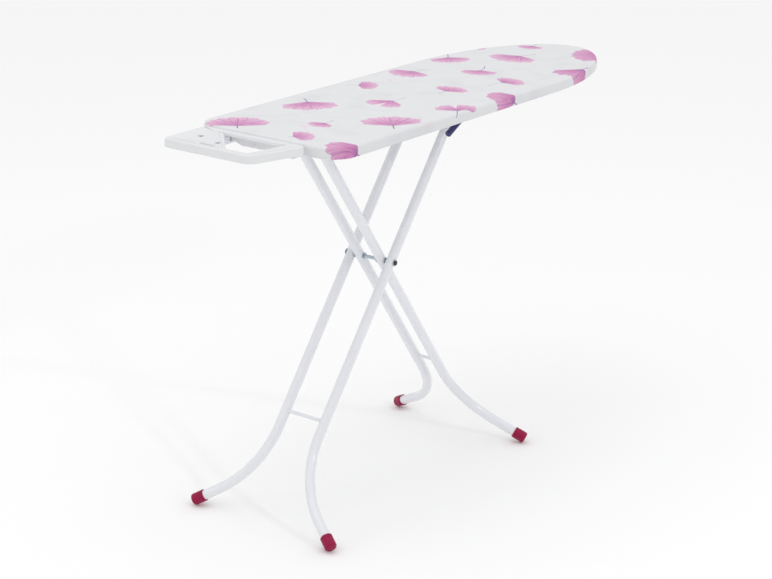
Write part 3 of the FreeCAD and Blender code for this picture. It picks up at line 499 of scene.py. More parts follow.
def makePrintedCotton(look):
    # plain-woven cotton with a screen print: matt cloth, translucent inks; the threads, really about
    # 0.4 mm apart, are drawn at 1.4 mm so that the weave shows
    material, tree, shader = startMaterial(
        "screen_printed_cotton", Roughness=0.82, Sheen_Weight=0.12, IOR=1.45)
    add = functools.partial(addNode, tree)
    mathNode, rangeNode, mixNode = "ShaderNodeMath", "ShaderNodeMapRange", "ShaderNodeMix"
    cloth = add("ShaderNodeUVMap", uv_map="cloth")
    leaf = add("ShaderNodeUVMap", uv_map="leaf")
    kind = add("ShaderNodeAttribute", attribute_name="leafKind")
    stalk = add("ShaderNodeAttribute", attribute_name="leafStem")
    strength = add("ShaderNodeAttribute", attribute_name="leafInk").outputs["Fac"]

    kindParts = add("ShaderNodeSeparateColor", {0: kind.outputs["Color"]})
    stalkParts = add("ShaderNodeSeparateXYZ", {0: stalk.outputs["Vector"]})
    spread, eye, cleft = (kindParts.outputs[i] for i in range(3))
    deep = kind.outputs["Alpha"]
    spot = add("ShaderNodeSeparateXYZ", {0: leaf})
    u, v = spot.outputs[0], spot.outputs[1]
    reach = add("ShaderNodeVectorMath", {0: leaf}, operation="LENGTH").outputs["Value"]
    angle = add(mathNode, (v, u), operation="ARCTAN2")
    aside = add(mathNode, (angle,), operation="ABSOLUTE")
    share = add(mathNode, (aside, spread), operation="DIVIDE")

    # the fan's rim is scalloped, rounds off at its two ends and may be cleft in the middle
    rimSpot = add("ShaderNodeCombineXYZ", {0: angle, 1: spread, 2: 0.0})
    rimWobble = add("ShaderNodeTexNoise", {"Vector": rimSpot, "Scale": 4.0, "Detail": 3.0})
    scallop = add(mathNode, (angle, 9.0), operation="MULTIPLY")
    scallop = add(mathNode, (scallop,), operation="SINE")
    scallop = add(mathNode, (scallop,), operation="ABSOLUTE")
    ends = add(rangeNode, {
        "Value": share, "From Min": 0.72, "From Max": 1.05}, interpolation_type="SMOOTHSTEP")
    ends = add(mathNode, (ends, 0.22), operation="MULTIPLY")
    notch = add(rangeNode, {
        "Value": aside, "From Min": 0.0, "From Max": 0.22}, interpolation_type="SMOOTHSTEP")
    notch = add(mathNode, (1.0, notch), operation="SUBTRACT")
    notchPart = add(mathNode, (cleft, 0.6), operation="MULTIPLY")
    notch = add(mathNode, (notch, notchPart), operation="MULTIPLY")
    rim = add(mathNode, (rimWobble.outputs["Fac"], 0.3), operation="MULTIPLY")
    rim = add(mathNode, (rim, 0.82), operation="ADD")
    rimPart = add(mathNode, (scallop, 0.07), operation="MULTIPLY")
    rim = add(mathNode, (rim, rimPart), operation="ADD")
    rimPart = add(mathNode, (rim, ends), operation="SUBTRACT")
    rim = add(mathNode, (rimPart, notch), operation="SUBTRACT")
    inRim = add(mathNode, (rim, reach), operation="SUBTRACT")
    inRim = add(rangeNode, {
        "Value": inRim, "From Min": 0.0, "From Max": 0.03}, interpolation_type="SMOOTHSTEP")
    sideGap = add(mathNode, (spread, aside), operation="SUBTRACT")
    sideGap = add(mathNode, (sideGap,), operation="SINE")
    sideGap = add(mathNode, (sideGap, reach), operation="MULTIPLY")
    inSides = add(rangeNode, {
        "Value": sideGap, "From Min": -0.045, "From Max": 0.0}, interpolation_type="SMOOTHSTEP")
    inSidesPart = add(mathNode, (spread, 0.5), operation="ADD")
    inSidesPart = add(mathNode, (aside, inSidesPart), operation="LESS_THAN")
    inSides = add(mathNode, (inSides, inSidesPart), operation="MULTIPLY")
    petal = add(mathNode, (inRim, inSides), operation="MULTIPLY")

    # veins run out from the base; between them the ink is streaky and thins towards the rim
    streakSpot = add(mathNode, (angle, 14.0), operation="MULTIPLY")
    streakSpot = add("ShaderNodeCombineXYZ", {0: streakSpot, 1: reach, 2: spread})
    streak = add("ShaderNodeTexNoise", {"Vector": streakSpot, "Scale": 2.2, "Detail": 4.0})
    wander = add(mathNode, (streak.outputs["Fac"], 0.5), operation="SUBTRACT")
    wander = add(mathNode, (wander, 0.25), operation="MULTIPLY")
    veinWave = add(mathNode, (angle, wander), operation="ADD")
    veinWave = add(mathNode, (veinWave, 10.0), operation="MULTIPLY")
    veinWave = add(mathNode, (veinWave,), operation="SINE")
    veinWave = add(mathNode, (veinWave,), operation="ABSOLUTE")
    vein = add(rangeNode, {
        "Value": veinWave, "From Min": 0.0, "From Max": 0.42}, interpolation_type="SMOOTHSTEP")
    vein = add(mathNode, (1.0, vein), operation="SUBTRACT")
    veinFade = add(rangeNode, {
        "Value": reach, "From Min": 0.1, "From Max": 1.0}, interpolation_type="SMOOTHSTEP")
    veinFade = add(mathNode, (1.0, veinFade), operation="SUBTRACT")
    veinInk = add(mathNode, (veinFade, 0.62), operation="MULTIPLY")
    veinInk = add(mathNode, (veinInk, 0.3), operation="ADD")
    veinInk = add(mathNode, (vein, veinInk), operation="MULTIPLY")
    paleWave = add(mathNode, (angle, wander), operation="ADD")
    paleWave = add(mathNode, (paleWave, 20.0), operation="MULTIPLY")
    paleWave = add(mathNode, (paleWave,), operation="COSINE")
    paleWave = add(mathNode, (paleWave,), operation="ABSOLUTE")
    paleLine = add(rangeNode, {
        "Value": paleWave, "From Min": 0.0, "From Max": 0.5}, interpolation_type="SMOOTHSTEP")
    paleLine = add(mathNode, (1.0, paleLine), operation="SUBTRACT")
    paleLinePart = add(rangeNode, {
        "Value": reach, "From Min": 0.45, "From Max": 1.0}, interpolation_type="SMOOTHSTEP")
    paleLine = add(mathNode, (paleLine, paleLinePart), operation="MULTIPLY")
    heart = add(rangeNode, {
        "Value": reach, "From Min": 0.0, "From Max": 0.34}, interpolation_type="SMOOTHSTEP")
    heart = add(mathNode, (1.0, heart), operation="SUBTRACT")
    heartPart = add(mathNode, (eye, 0.35), operation="MULTIPLY")
    heartPart = add(mathNode, (heartPart, 0.5), operation="ADD")
    heart = add(mathNode, (heart, heartPart), operation="MULTIPLY")
    paling = add(rangeNode, {
        "Value": reach, "From Min": 0.35, "From Max": 1.05}, interpolation_type="SMOOTHSTEP")
    palingPart = add(rangeNode, {
        "Value": streak.outputs["Fac"], "From Min": 0.35, "From Max": 0.7}, interpolation_type="SMOOTHSTEP")
    paling = add(mathNode, (paling, palingPart), operation="MULTIPLY")
    inkShare = add(rangeNode, {
        "Value": streak.outputs["Fac"], "From Min": 0.3, "From Max": 0.7}, interpolation_type="SMOOTHSTEP")
    ink = add(mixNode, {
        0: inkShare, 6: toLinear(look["petal"]), 7: toLinear(look["petalDeep"])}, data_type="RGBA").outputs[2]
    inkShare = add(mathNode, (paling, 0.75), operation="MULTIPLY")
    ink = add(mixNode, {0: inkShare, 6: ink, 7: toLinear(look["petalPale"])}, data_type="RGBA").outputs[2]
    inkShare = add(mathNode, (paleLine, 0.6), operation="MULTIPLY")
    ink = add(mixNode, {0: inkShare, 6: ink, 7: toLinear(look["petalPale"])}, data_type="RGBA").outputs[2]
    inkShare = add(mathNode, (deep, 0.3), operation="MULTIPLY")
    ink = add(mixNode, {0: inkShare, 6: ink, 7: toLinear(look["petalDeep"])}, data_type="RGBA").outputs[2]
    inkShare = add(mathNode, (veinInk, heart), operation="MAXIMUM")
    ink = add(mixNode, {0: inkShare, 6: ink, 7: toLinear(look["vein"])}, data_type="RGBA").outputs[2]

    # a thin stem, slightly bent, leaves the base of the fan
    stemX, stemY, stemLength = (stalkParts.outputs[i] for i in range(3))
    along = add(mathNode, (u, stemX), operation="MULTIPLY")
    alongPart = add(mathNode, (v, stemY), operation="MULTIPLY")
    along = add(mathNode, (along, alongPart), operation="ADD")
    across = add(mathNode, (v, stemX), operation="MULTIPLY")
    acrossPart = add(mathNode, (u, stemY), operation="MULTIPLY")
    across = add(mathNode, (across, acrossPart), operation="SUBTRACT")
    bend = add(mathNode, (stemLength, along), operation="SUBTRACT")
    bend = add(mathNode, (along, bend), operation="MULTIPLY")
    bend = add(mathNode, (bend, 0.3), operation="MULTIPLY")
    offLine = add(mathNode, (across, bend), operation="ADD")
    offLine = add(mathNode, (offLine,), operation="ABSOLUTE")
    onStem = add(mathNode, (along, -0.02), operation="GREATER_THAN")
    onStemPart = add(mathNode, (along, stemLength), operation="LESS_THAN")
    onStem = add(mathNode, (onStem, onStemPart), operation="MULTIPLY")
    stem = add(rangeNode, {
        "Value": offLine, "From Min": 0.006, "From Max": 0.026}, interpolation_type="SMOOTHSTEP")
    stem = add(mathNode, (1.0, stem), operation="SUBTRACT")
    stem = add(mathNode, (onStem, stem), operation="MULTIPLY")
    stem = add(mathNode, (stem, strength), operation="MULTIPLY")

    # pale swirls drift between the leaves
    drift = add("ShaderNodeTexNoise", {"Vector": cloth, "Scale": 5.0, "Detail": 1.0})
    gate = add("ShaderNodeTexNoise", {"Vector": cloth, "Scale": 9.0, "Detail": 0.0})
    line = add(mathNode, (drift.outputs["Fac"], 0.5), operation="SUBTRACT")
    line = add(mathNode, (line,), operation="ABSOLUTE")
    swirl = add(rangeNode, {
        "Value": line, "From Min": 0.0, "From Max": look["swirlWidth"]}, interpolation_type="SMOOTHSTEP")
    swirl = add(mathNode, (1.0, swirl), operation="SUBTRACT")
    swirlPart = add(rangeNode, {
        "Value": gate.outputs["Fac"], "From Min": 0.5, "From Max": 0.62}, interpolation_type="SMOOTHSTEP")
    swirl = add(mathNode, (swirl, swirlPart), operation="MULTIPLY")
    # painted crease shade: noise patches over the flat cloth darken the ground grey a little, as if shade lay
    # in creases
    paintedCreaseMask = add("ShaderNodeTexNoise", {"Vector": cloth, "Scale": 12.0, "Detail": 2.0})
    colourShare = add(rangeNode, {
        "Value": paintedCreaseMask.outputs["Fac"], "From Min": 0.45, "From Max": 0.75}, interpolation_type="SMOOTHSTEP")
    colour = add(mixNode, {
        0: colourShare, 6: toLinear(look["ground"]), 7: toLinear(look["paintedCreaseShade"])}, data_type="RGBA").outputs[2]
    colour = add(mixNode, {0: swirl, 6: colour, 7: toLinear(look["swirl"])}, data_type="RGBA").outputs[2]
    colour = add(mixNode, {0: stem, 6: colour, 7: toLinear(look["vein"])}, data_type="RGBA").outputs[2]
    colourShare = add(mathNode, (petal, 0.94), operation="MULTIPLY")
    colour = add(mixNode, {0: colourShare, 6: colour, 7: ink}, data_type="RGBA").outputs[2]
    tree.links.new(colour, shader.inputs["Base Color"])

    # warp and weft
    clothParts = add("ShaderNodeSeparateXYZ", {0: cloth})
    pitch = math.pi / (look["thread"] * millimetre)
    warp = add(mathNode, (clothParts.outputs[0], pitch), operation="MULTIPLY")
    warp = add(mathNode, (warp,), operation="SINE")
    warp = add(mathNode, (warp,), operation="ABSOLUTE")
    weft = add(mathNode, (clothParts.outputs[1], pitch), operation="MULTIPLY")
    weft = add(mathNode, (weft,), operation="SINE")
    weft = add(mathNode, (weft,), operation="ABSOLUTE")
    bump = add(mathNode, (warp, weft), operation="MULTIPLY")
    bump = add("ShaderNodeBump", {"Height": bump, "Strength": 0.22, "Distance": 0.15 * millimetre})
    tree.links.new(bump.outputs["Normal"], shader.inputs["Normal"])
    return material


printedCotton = makePrintedCotton(cottonLook)


def makeCover(shape):
    points, flat, rings = coverPoints(shape)
    faces = ringFaces(rings, boardShape["steps"])
    cover = meshPiece("printed_cover", points, faces, printedCotton, "board")
    printOnCover(cover.data, flat)
    shell = bmesh.new()
    shell.from_mesh(cover.data)
    bmesh.ops.remove_doubles(shell, verts=[v for v in shell.verts if v.index < boardShape["steps"]],
                             dist=0.2 * millimetre)
    shell.to_mesh(cover.data)
    shell.free()
    wall = cover.modifiers.new("cloth_thickness", "SOLIDIFY")
    wall.thickness = shape["thickness"] * millimetre
    wall.offset = -1.0
    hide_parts("cover")
    return cover


printedCover = makeCover(coverShape)
print("the cover is cut, printed and drawn over the board")


def sharpEdges(mesh, degrees=32):
    # smooth shading that keeps real corners crisp
    work = bmesh.new()
    work.from_mesh(mesh)
    for edge in work.edges:
        edge.smooth = len(edge.link_faces) == 2 and edge.calc_face_angle(0.0) < math.radians(degrees)
    for face in work.faces:
        face.smooth = True
    work.to_mesh(mesh)
    work.free()


def cutWith(piece, cutters):
    # takes the cutters' shapes out of the piece, for good
    for cutter in cutters:
        cut = piece.modifiers.new("cut", "BOOLEAN")
        cut.operation, cut.solver, cut.object = "DIFFERENCE", "EXACT", cutter
    graph = bpy.context.evaluated_depsgraph_get()
    piece.data = bpy.data.meshes.new_from_object(piece.evaluated_get(graph))
    piece.modifiers.clear()
    for cutter in cutters:
        bpy.data.objects.remove(cutter)


def lathe(profile, steps, centre, axis="Z"):
    # a closed turned shape: profile holds (radius, height) pairs, and a radius of 0 closes a pole
    points, rings = [], []
    for radius, height in profile:
        count = 1 if radius == 0 else steps
        rings.append(range(len(points), len(points) + count))
        for k in range(count):
            turn = 2 * math.pi * k / steps
            spot = (radius * math.cos(turn), radius * math.sin(turn), height)
            spot = spot if axis == "Z" else (spot[0], -spot[2], spot[1])
            points.append(tuple(c * millimetre + o for c, o in zip(spot, centre)))
    faces = []
    for low, high in zip(rings, rings[1:]):
        for k in range(steps):
            corners = [low[k % len(low)], low[(k + 1) % steps % len(low)],
                       high[(k + 1) % steps % len(high)], high[k % len(high)]]
            faces.append(tuple(dict.fromkeys(corners)))
    return points, faces


def looseObject(name, points, faces):
    mesh = bpy.data.meshes.new(name)
    mesh.from_pydata(points, [], faces)
    work = bmesh.new()
    work.from_mesh(mesh)
    bmesh.ops.recalc_face_normals(work, faces=work.faces)
    work.to_mesh(mesh)
    work.free()
    loose = bpy.data.objects.new(name, mesh)
    bpy.context.scene.collection.objects.link(loose)
    return loose


# the felt under the cover

padShape = {"inset": 1.6, "round": 2.4, "rings": 20}


def makePad(shape):
    low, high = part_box("underlay_pad")
    points, rings = [], []
    bend = [math.radians(90 * k / 4) for k in range(5)]
    profile = [(shape["inset"] + shape["round"] * (1 - math.sin(b)),
                high.z - shape["round"] * (1 - math.cos(b)) * millimetre) for b in bend]
    profile += [(inset, low.z + (high.z - z) * 0.4) for inset, z in reversed(profile)]
    edges = [([(p - n * inset * millimetre) for p, n, g in boardOutline], z) for inset, z in profile]
    for k in range(shape["rings"]):
        share = k / shape["rings"] + 0.001
        plan = [spinePoint(p).lerp(q, share) for (p, n, g), q in zip(boardOutline, edges[0][0])]
        rings.append((plan, edges[0][1]))
    rings += edges
    for k in range(1, shape["rings"] + 1):
        share = 1 - k / shape["rings"] + 0.001
        plan = [spinePoint(p).lerp(q, share) for (p, n, g), q in zip(boardOutline, edges[-1][0])]
        rings.append((plan, edges[-1][1]))
    for plan, height in rings:
        points += [(q.x, q.y, height) for q in plan]
    faces = ringFaces(len(rings), boardShape["steps"])
    pad = meshPiece("felt_underlay", points, faces, needledFelt, "board")
    shell = bmesh.new()
    shell.from_mesh(pad.data)
    bmesh.ops.remove_doubles(shell, verts=shell.verts, dist=0.3 * millimetre)
    shell.to_mesh(pad.data)
    shell.free()
    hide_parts("underlay_pad")


makePad(padShape)
print("the felt is laid")


# the perforated steel sheet that the board is made on

sheetShape = {"pitch": 19.0, "hole": 4.6, "margin": 15.0, "steel": 0.8, "bend": 3.5, "lip": 4.0}


def perforationTree():
    # fills the outline it is given and leaves staggered round holes, clear of the edge
    tree = bpy.data.node_groups.new("perforated_sheet", "GeometryNodeTree")
    tree.interface.new_socket("Geometry", in_out="INPUT", socket_type="NodeSocketGeometry")
    for name, value in (("Pitch", 0.019), ("Hole Radius", 0.0046), ("Margin", 0.015), ("Length", 1.2),
                        ("Width", 0.4), ("Middle", 0.07), ("Level", 0.86)):
        tree.interface.new_socket(name, in_out="INPUT", socket_type="NodeSocketFloat").default_value = value
    tree.interface.new_socket("Material", in_out="INPUT", socket_type="NodeSocketMaterial")
    tree.interface.new_socket("Geometry", in_out="OUTPUT", socket_type="NodeSocketGeometry")
    given = addNode(tree, "NodeGroupInput").outputs
    rowStep = addNode(tree, "ShaderNodeMath", (given["Pitch"], 0.866), operation="MULTIPLY")
    across = addNode(tree, "ShaderNodeMath", (given["Length"], given["Pitch"]), operation="DIVIDE")
    down = addNode(tree, "ShaderNodeMath", (given["Width"], rowStep), operation="DIVIDE")
    across = addNode(tree, "ShaderNodeMath", (across, 1.0), operation="ADD")
    down = addNode(tree, "ShaderNodeMath", (down, 1.0), operation="ADD")
    grid = addNode(tree, "GeometryNodeMeshGrid", {
        "Size X": given["Length"], "Size Y": given["Width"], "Vertices X": across, "Vertices Y": down})
    spot = addNode(tree, "ShaderNodeSeparateXYZ", (addNode(tree, "GeometryNodeInputPosition"),))
    row = addNode(tree, "ShaderNodeMath", (spot.outputs[1], rowStep), operation="DIVIDE")
    row = addNode(tree, "ShaderNodeMath", (row,), operation="ROUND")
    odd = addNode(tree, "ShaderNodeMath", (row, 2.0), operation="FLOORED_MODULO")
    shift = addNode(tree, "ShaderNodeMath", (odd, given["Pitch"]), operation="MULTIPLY")
    shift = addNode(tree, "ShaderNodeMath", (shift, 0.5, given["Middle"]), operation="MULTIPLY_ADD")
    move = addNode(tree, "ShaderNodeCombineXYZ", (shift, 0.0, 0.0))
    spots = addNode(tree, "GeometryNodeSetPosition", {"Geometry": grid, "Offset": move})
    edge = addNode(tree, "GeometryNodeMeshToCurve", {"Mesh": given["Geometry"]})
    plate = addNode(tree, "GeometryNodeFillCurve", {"Curve": edge})
    near = addNode(tree, "GeometryNodeProximity", {"Geometry": given["Geometry"]}, target_element="EDGES")
    ray = addNode(tree, "GeometryNodeRaycast", {
        "Target Geometry": plate, "Source Position": addNode(tree, "ShaderNodeVectorMath", (
            addNode(tree, "GeometryNodeInputPosition"), (0, 0, 0.01)), operation="ADD"),
        "Ray Direction": (0, 0, -1), "Ray Length": 0.02})
    tooNear = addNode(tree, "FunctionNodeCompare", {
        "A": near.outputs["Distance"], "B": given["Margin"]}, data_type="FLOAT", operation="LESS_THAN")
    outside = addNode(tree, "FunctionNodeBooleanMath", (ray.outputs["Is Hit"],), operation="NOT")
    drop = addNode(tree, "FunctionNodeBooleanMath", (tooNear, outside), operation="OR")
    kept = addNode(tree, "GeometryNodeDeleteGeometry", {
        "Geometry": spots, "Selection": drop}, domain="POINT")
    hole = addNode(tree, "GeometryNodeCurvePrimitiveCircle", {
        "Resolution": 14, "Radius": given["Hole Radius"]})
    holes = addNode(tree, "GeometryNodeInstanceOnPoints", {
        "Points": kept, "Instance": hole.outputs["Curve"]})
    holes = addNode(tree, "GeometryNodeRealizeInstances", {"Geometry": holes})
    both = addNode(tree, "GeometryNodeJoinGeometry", {0: holes})
    tree.links.new(edge.outputs[0], both.inputs[0])
    filled = addNode(tree, "GeometryNodeFillCurve", {"Curve": both})
    real = addNode(tree, "GeometryNodeRealizeInstances", {"Geometry": filled})
    lift = addNode(tree, "GeometryNodeSetPosition", {
        "Geometry": real, "Offset": addNode(tree, "ShaderNodeCombineXYZ", (0.0, 0.0, given["Level"]))})
    coated = addNode(tree, "GeometryNodeSetMaterial", {"Geometry": lift, "Material": given["Material"]})
    addNode(tree, "NodeGroupOutput", {"Geometry": coated})
    return tree


def throughNodes(loose, tree, values):
    # runs a node tree on a loose object and gives back the plain mesh
    modifier = loose.modifiers.new("nodes", "NODES")
    modifier.node_group = tree
    for socket in tree.interface.items_tree:
        if socket.in_out == "INPUT" and socket.name in values:
            modifier[socket.identifier] = values[socket.name]
    graph = bpy.context.evaluated_depsgraph_get()
    mesh = bpy.data.meshes.new_from_object(loose.evaluated_get(graph))
    bpy.data.objects.remove(loose)
    return mesh


def makeSteelSheet(shape):
    low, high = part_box("board_panel")
    steps, first = boardShape["steps"], 2.2
    gap = (coverHigh.y - high.y) / millimetre
    level = high.z
    start = gap + shape["bend"] + first
    ring = [p - n * start * millimetre for p, n, g in boardOutline]
    loose = looseObject("sheet_outline", [], [])
    joins = [(k, (k + 1) % steps) for k in range(steps)]
    loose.data.from_pydata([(q.x, q.y, 0.0) for q in ring], joins, [])
    flat = throughNodes(loose, perforationTree(), {
        "Pitch": shape["pitch"] * millimetre, "Hole Radius": shape["hole"] * millimetre,
        "Margin": shape["margin"] * millimetre, "Length": high.x - low.x, "Width": high.y - low.y,
        "Middle": (high.x + low.x) / 2, "Level": level, "Material": whitePowderCoat})
    rows = [(start, 0.0)]
    for k in range(5):
        bend = math.radians(90 * k / 4)
        rows.append((gap + shape["bend"] * (1 - math.sin(bend)), shape["bend"] * (1 - math.cos(bend))))
    depth = (high.z - low.z) / millimetre
    rows += [(gap, depth * 0.5), (gap, depth - 1.5), (gap + 0.5, depth - 0.6), (gap + 1.6, depth - 0.1),
             (gap + shape["lip"], depth - 0.4)]
    points = []
    for inset, down in rows:
        ring = [p - n * inset * millimetre for p, n, g in boardOutline]
        points += [(q.x, q.y, level - down * millimetre) for q in ring]
    faces = ringFaces(len(rows), steps)
    sheet = bmesh.new()
    sheet.from_mesh(flat)
    for face in sheet.faces:
        if face.normal.z < 0:
            face.normal_flip()
    spots = [sheet.verts.new(p) for p in points]
    for face in faces:
        sheet.faces.new([spots[i] for i in face])
    bmesh.ops.remove_doubles(sheet, verts=sheet.verts, dist=0.02 * millimetre)
    mesh = bpy.data.meshes.new("perforated_sheet")
    sheet.to_mesh(mesh)
    sheet.free()
    sharpEdges(mesh, 40)
    piece = bpy.data.objects.new("perforated_sheet", mesh)
    bpy.context.scene.collection.objects.link(piece)
    mesh.materials.append(whitePowderCoat)
    wall = piece.modifiers.new("steel_thickness", "SOLIDIFY")
    wall.thickness, wall.offset = shape["steel"] * millimetre, -1.0
    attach(piece, "board")
    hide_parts("board_panel")


makeSteelSheet(sheetShape)
print("the steel sheet is perforated and bent")


# the moulded iron rest at the square end

restShape = {
    "board": -527.5, "outer": -660.5,
    "corners": [(-527.5, -117, 9), (-527.5, 157, 6), (-660.5, 155, 14), (-660.5, -80, 26)],
    "window": [(-544.5, -80, 7), (-544.5, 104, 5), (-643.5, 6, 9), (-643.5, -60, 8)],
    "steps": 220, "edge": 3.6, "draft": 0.8, "wall": 2.6, "field": 0.35, "rim": 7.0, "lip": 4.0,
    "slot": {"place": (-640, 48.5), "size": (9.0, 40.0), "bow": 6.0},
    "screws": [(-597.5, 105), (-618.5, 40)], "recess": 6.8, "recessDepth": 3.6, "ribs": 14,
    "skirtStop": (9.0, 1.0), "lipStop": (24.0, 17.5),
}


def roundedOutline(corners, steps, centre):
    # an even walk round a polygon whose corners are arcs, started level with the centre on the board's side
    raw = []
    for i, (x, y, radius) in enumerate(corners):
        here, before = Vector((x, y)), Vector(corners[i - 1][:2])
        after = Vector(corners[(i + 1) % len(corners)][:2])
        into, out = (before - here).normalized(), (after - here).normalized()
        half = into.angle(out) / 2
        middle = here + (into + out).normalized() * radius / math.sin(half)
        first, last = here + into * radius / math.tan(half), here + out * radius / math.tan(half)
        a, b = first - middle, last - middle
        sweep = a.angle_signed(b)
        for k in range(13):
            turn = -sweep * k / 12
            raw.append(middle + Vector((a.x * math.cos(turn) - a.y * math.sin(turn),
                                        a.x * math.sin(turn) + a.y * math.cos(turn))))
    # one point for each direction from the centre, so that two outlines pair up
    found = []
    for k in range(steps):
        turn = 2 * math.pi * k / steps
        ray = Vector((math.cos(turn), math.sin(turn)))
        for a, b in zip(raw, raw[1:] + raw[:1]):
            side = b - a
            cross = ray.x * side.y - ray.y * side.x
            if abs(cross) < 1e-9:
                continue
            away = ((a.x - centre[0]) * side.y - (a.y - centre[1]) * side.x) / cross
            share = ((a.x - centre[0]) * ray.y - (a.y - centre[1]) * ray.x) / cross
            if away > 0 and 0 <= share <= 1:
                found.append(Vector(centre) + ray * away)
                break
    return found


def outwards(line):
    found = []
    for k in range(len(line)):
        along = line[(k + 1) % len(line)] - line[k - 1]
        found.append(Vector((along.y, -along.x)).normalized())
    return found


def makeRest(shape):
    low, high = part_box("iron_rest")
    centre = (-595.0, -18.0)
    outer = roundedOutline(shape["corners"], shape["steps"], centre)
    inner = roundedOutline(shape["window"], shape["steps"], centre)
    outerWay, innerWay = outwards(outer), outwards(inner)
    depth = (high.z - low.z) / millimetre
    edge, wall, field = shape["edge"], shape["wall"], shape["field"]
    # (from the window or the outside, distance into the plastic, height below the top)
    rows = [("in", 0.0, 9.0), ("in", 0.0, 2.0)]
    rows += [("in", 2.0 * (1 - math.cos(math.radians(b))), 2.0 * (1 - math.sin(math.radians(b))))
             for b in (30, 60, 90)]
    rows += [("in", shape["lip"], 0.0), ("in", shape["lip"] + 1.2, field)]
    rows += [("out", shape["rim"] + 1.2, field), ("out", shape["rim"], 0.0)]
    rows += [("out", edge * (1 - math.sin(math.radians(b))), edge * (1 - math.cos(math.radians(b))))
             for b in (0, 22, 45, 68, 90)]
    rows += [("out", -shape["draft"] * 0.5, depth * 0.6), ("out", -shape["draft"], depth - 1.0),
             ("out", -shape["draft"] + 0.4, depth), ("out", wall - 0.4, depth), ("out", wall, depth - 1.0),
             ("out", wall + 0.4, wall + 2.0), ("out", wall + 2.0, wall + field),
             ("in", wall + 2.0, wall + field), ("in", wall, wall + 2.0), ("in", wall, 9.0)]
    points = []
    for which, inset, down in rows:
        for k in range(shape["steps"]):
            spot = inner[k] + innerWay[k] * inset if which == "in" else outer[k] - outerWay[k] * inset
            # the skirt and the window's lip stop short along the board, where the bar is a thin flange
            side = outer[k].x if which == "out" else inner[k].x
            far, near = shape["skirtStop"] if which == "out" else shape["lipStop"]
            close = smoothStep(shape["board"] - far, shape["board"] - near, side)
            thin = wall + edge + 1.2 * (down - wall) / (depth - wall)
            drop = down if down <= edge + 0.1 else down + (min(thin, down) - down) * close
            points.append((spot.x * millimetre, spot.y * millimetre, high.z - drop * millimetre))
    faces = ringFaces(len(rows), shape["steps"], closed=True)
    rest = looseObject("iron_rest_moulding", points, faces)
    cutters = []
    for x, y in shape["screws"]:
        profile = [(0, 5.0), (shape["recess"], 5.0), (shape["recess"], -wall - 3.0), (0, -wall - 3.0)]
        cutters.append(looseObject("recess", *lathe(profile, 32, (x * millimetre, y * millimetre, high.z))))
    cutters.append(slotCutter(shape["slot"], high.z))
    cutWith(rest, cutters)
    sharpEdges(rest.data, 34)
    finishPiece(rest, whitePlastic, "board")
    sharpEdges(rest.data, 34)
    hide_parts("iron_rest")
    makeCups(shape, high.z, wall)
    ribs = []
    for j in range(shape["ribs"]):
        k = (j * shape["steps"]) // shape["ribs"] + 5
        a, b = inner[k] + innerWay[k] * (wall - 0.5), outer[k] - outerWay[k] * (wall - 0.3)
        if (b - a).length > 60 or any((Vector(s) - (a + b) / 2).length < 24 for s in shape["screws"]):
            continue
        ribs.append((a, b))
    makeRibs(ribs, high.z, wall + field)


def makeCups(shape, top, wall):
    # the cups that the two screws sit down in
    bore, deep = shape["recess"] - 0.05, shape["recessDepth"]
    profile = [(bore, -0.5), (bore, -deep), (2.1, -deep - 0.3), (2.1, -deep - 2.2),
               (bore + 1.5, -deep - 2.2), (bore + 1.8, -wall), (bore + 0.4, -0.6), (bore, -0.5)]
    cups = bmesh.new()
    for x, y in shape["screws"]:
        points, faces = lathe(profile, 32, (x * millimetre, y * millimetre, top))
        spots = [cups.verts.new(p) for p in points]
        for face in faces:
            cups.faces.new([spots[i] for i in face])
    bmesh.ops.remove_doubles(cups, verts=cups.verts, dist=0.001 * millimetre)
    bmesh.ops.recalc_face_normals(cups, faces=cups.faces)
    mesh = bpy.data.meshes.new("rest_screw_cups")
    cups.to_mesh(mesh)
    cups.free()
    piece = bpy.data.objects.new("rest_screw_cups", mesh)
    bpy.context.scene.collection.objects.link(piece)
    finishPiece(piece, whitePlastic, "board")
    sharpEdges(mesh, 34)


def slotCutter(slot, top):
    # a bowed obround, cut straight through
    points = []
    length, width = slot["size"][1] - slot["size"][0], slot["size"][0]
    line = []
    for k in range(9):
        line.append((width / 2, -length / 2 + length * k / 8))
    for k in range(1, 8):
        turn = math.pi * k / 8
        line.append((width / 2 * math.cos(turn), length / 2 + width / 2 * math.sin(turn)))
    line += [(-x, -y) for x, y in line]
    bowed = [(x - slot["bow"] * (1 - (2 * y / slot["size"][1]) ** 2) * 0.5, y) for x, y in line]
    for rise in (5.0, -30.0):
        points += [((slot["place"][0] + x) * millimetre, (slot["place"][1] + y) * millimetre,
                    top + rise * millimetre) for x, y in bowed]
    count = len(bowed)
    faces = [tuple(range(count)), tuple(range(2 * count - 1, count - 1, -1))]
    faces += [(k, k + count, (k + 1) % count + count, (k + 1) % count) for k in range(count)]
    return looseObject("slot_cutter", points, faces)


def makeRibs(lines, top, below, thick=1.6, deep=6.5):
    # ribs stiffen the hollow underneath
    points, faces = [], []
    for a, b in lines:
        side = Vector((-(b - a).y, (b - a).x)).normalized() * thick / 2
        first = len(points)
        for down, narrow in ((below - 0.5, 1.0), (below + deep, 0.7)):
            for end in (a, b):
                for way in (1, -1):
                    spot = end + side * way * narrow
                    points.append((spot.x * millimetre, spot.y * millimetre, top - down * millimetre))
        for quad in ((0, 1, 3, 2), (4, 6, 7, 5), (0, 2, 6, 4), (1, 5, 7, 3), (0, 4, 5, 1), (2, 3, 7, 6)):
            faces.append(tuple(first + i for i in quad))
    ribs = looseObject("iron_rest_ribs", points, faces)
    finishPiece(ribs, whitePlastic, "board", smooth=False)


makeRest(restShape)
print("the iron rest is moulded")


# its two cross-head screws

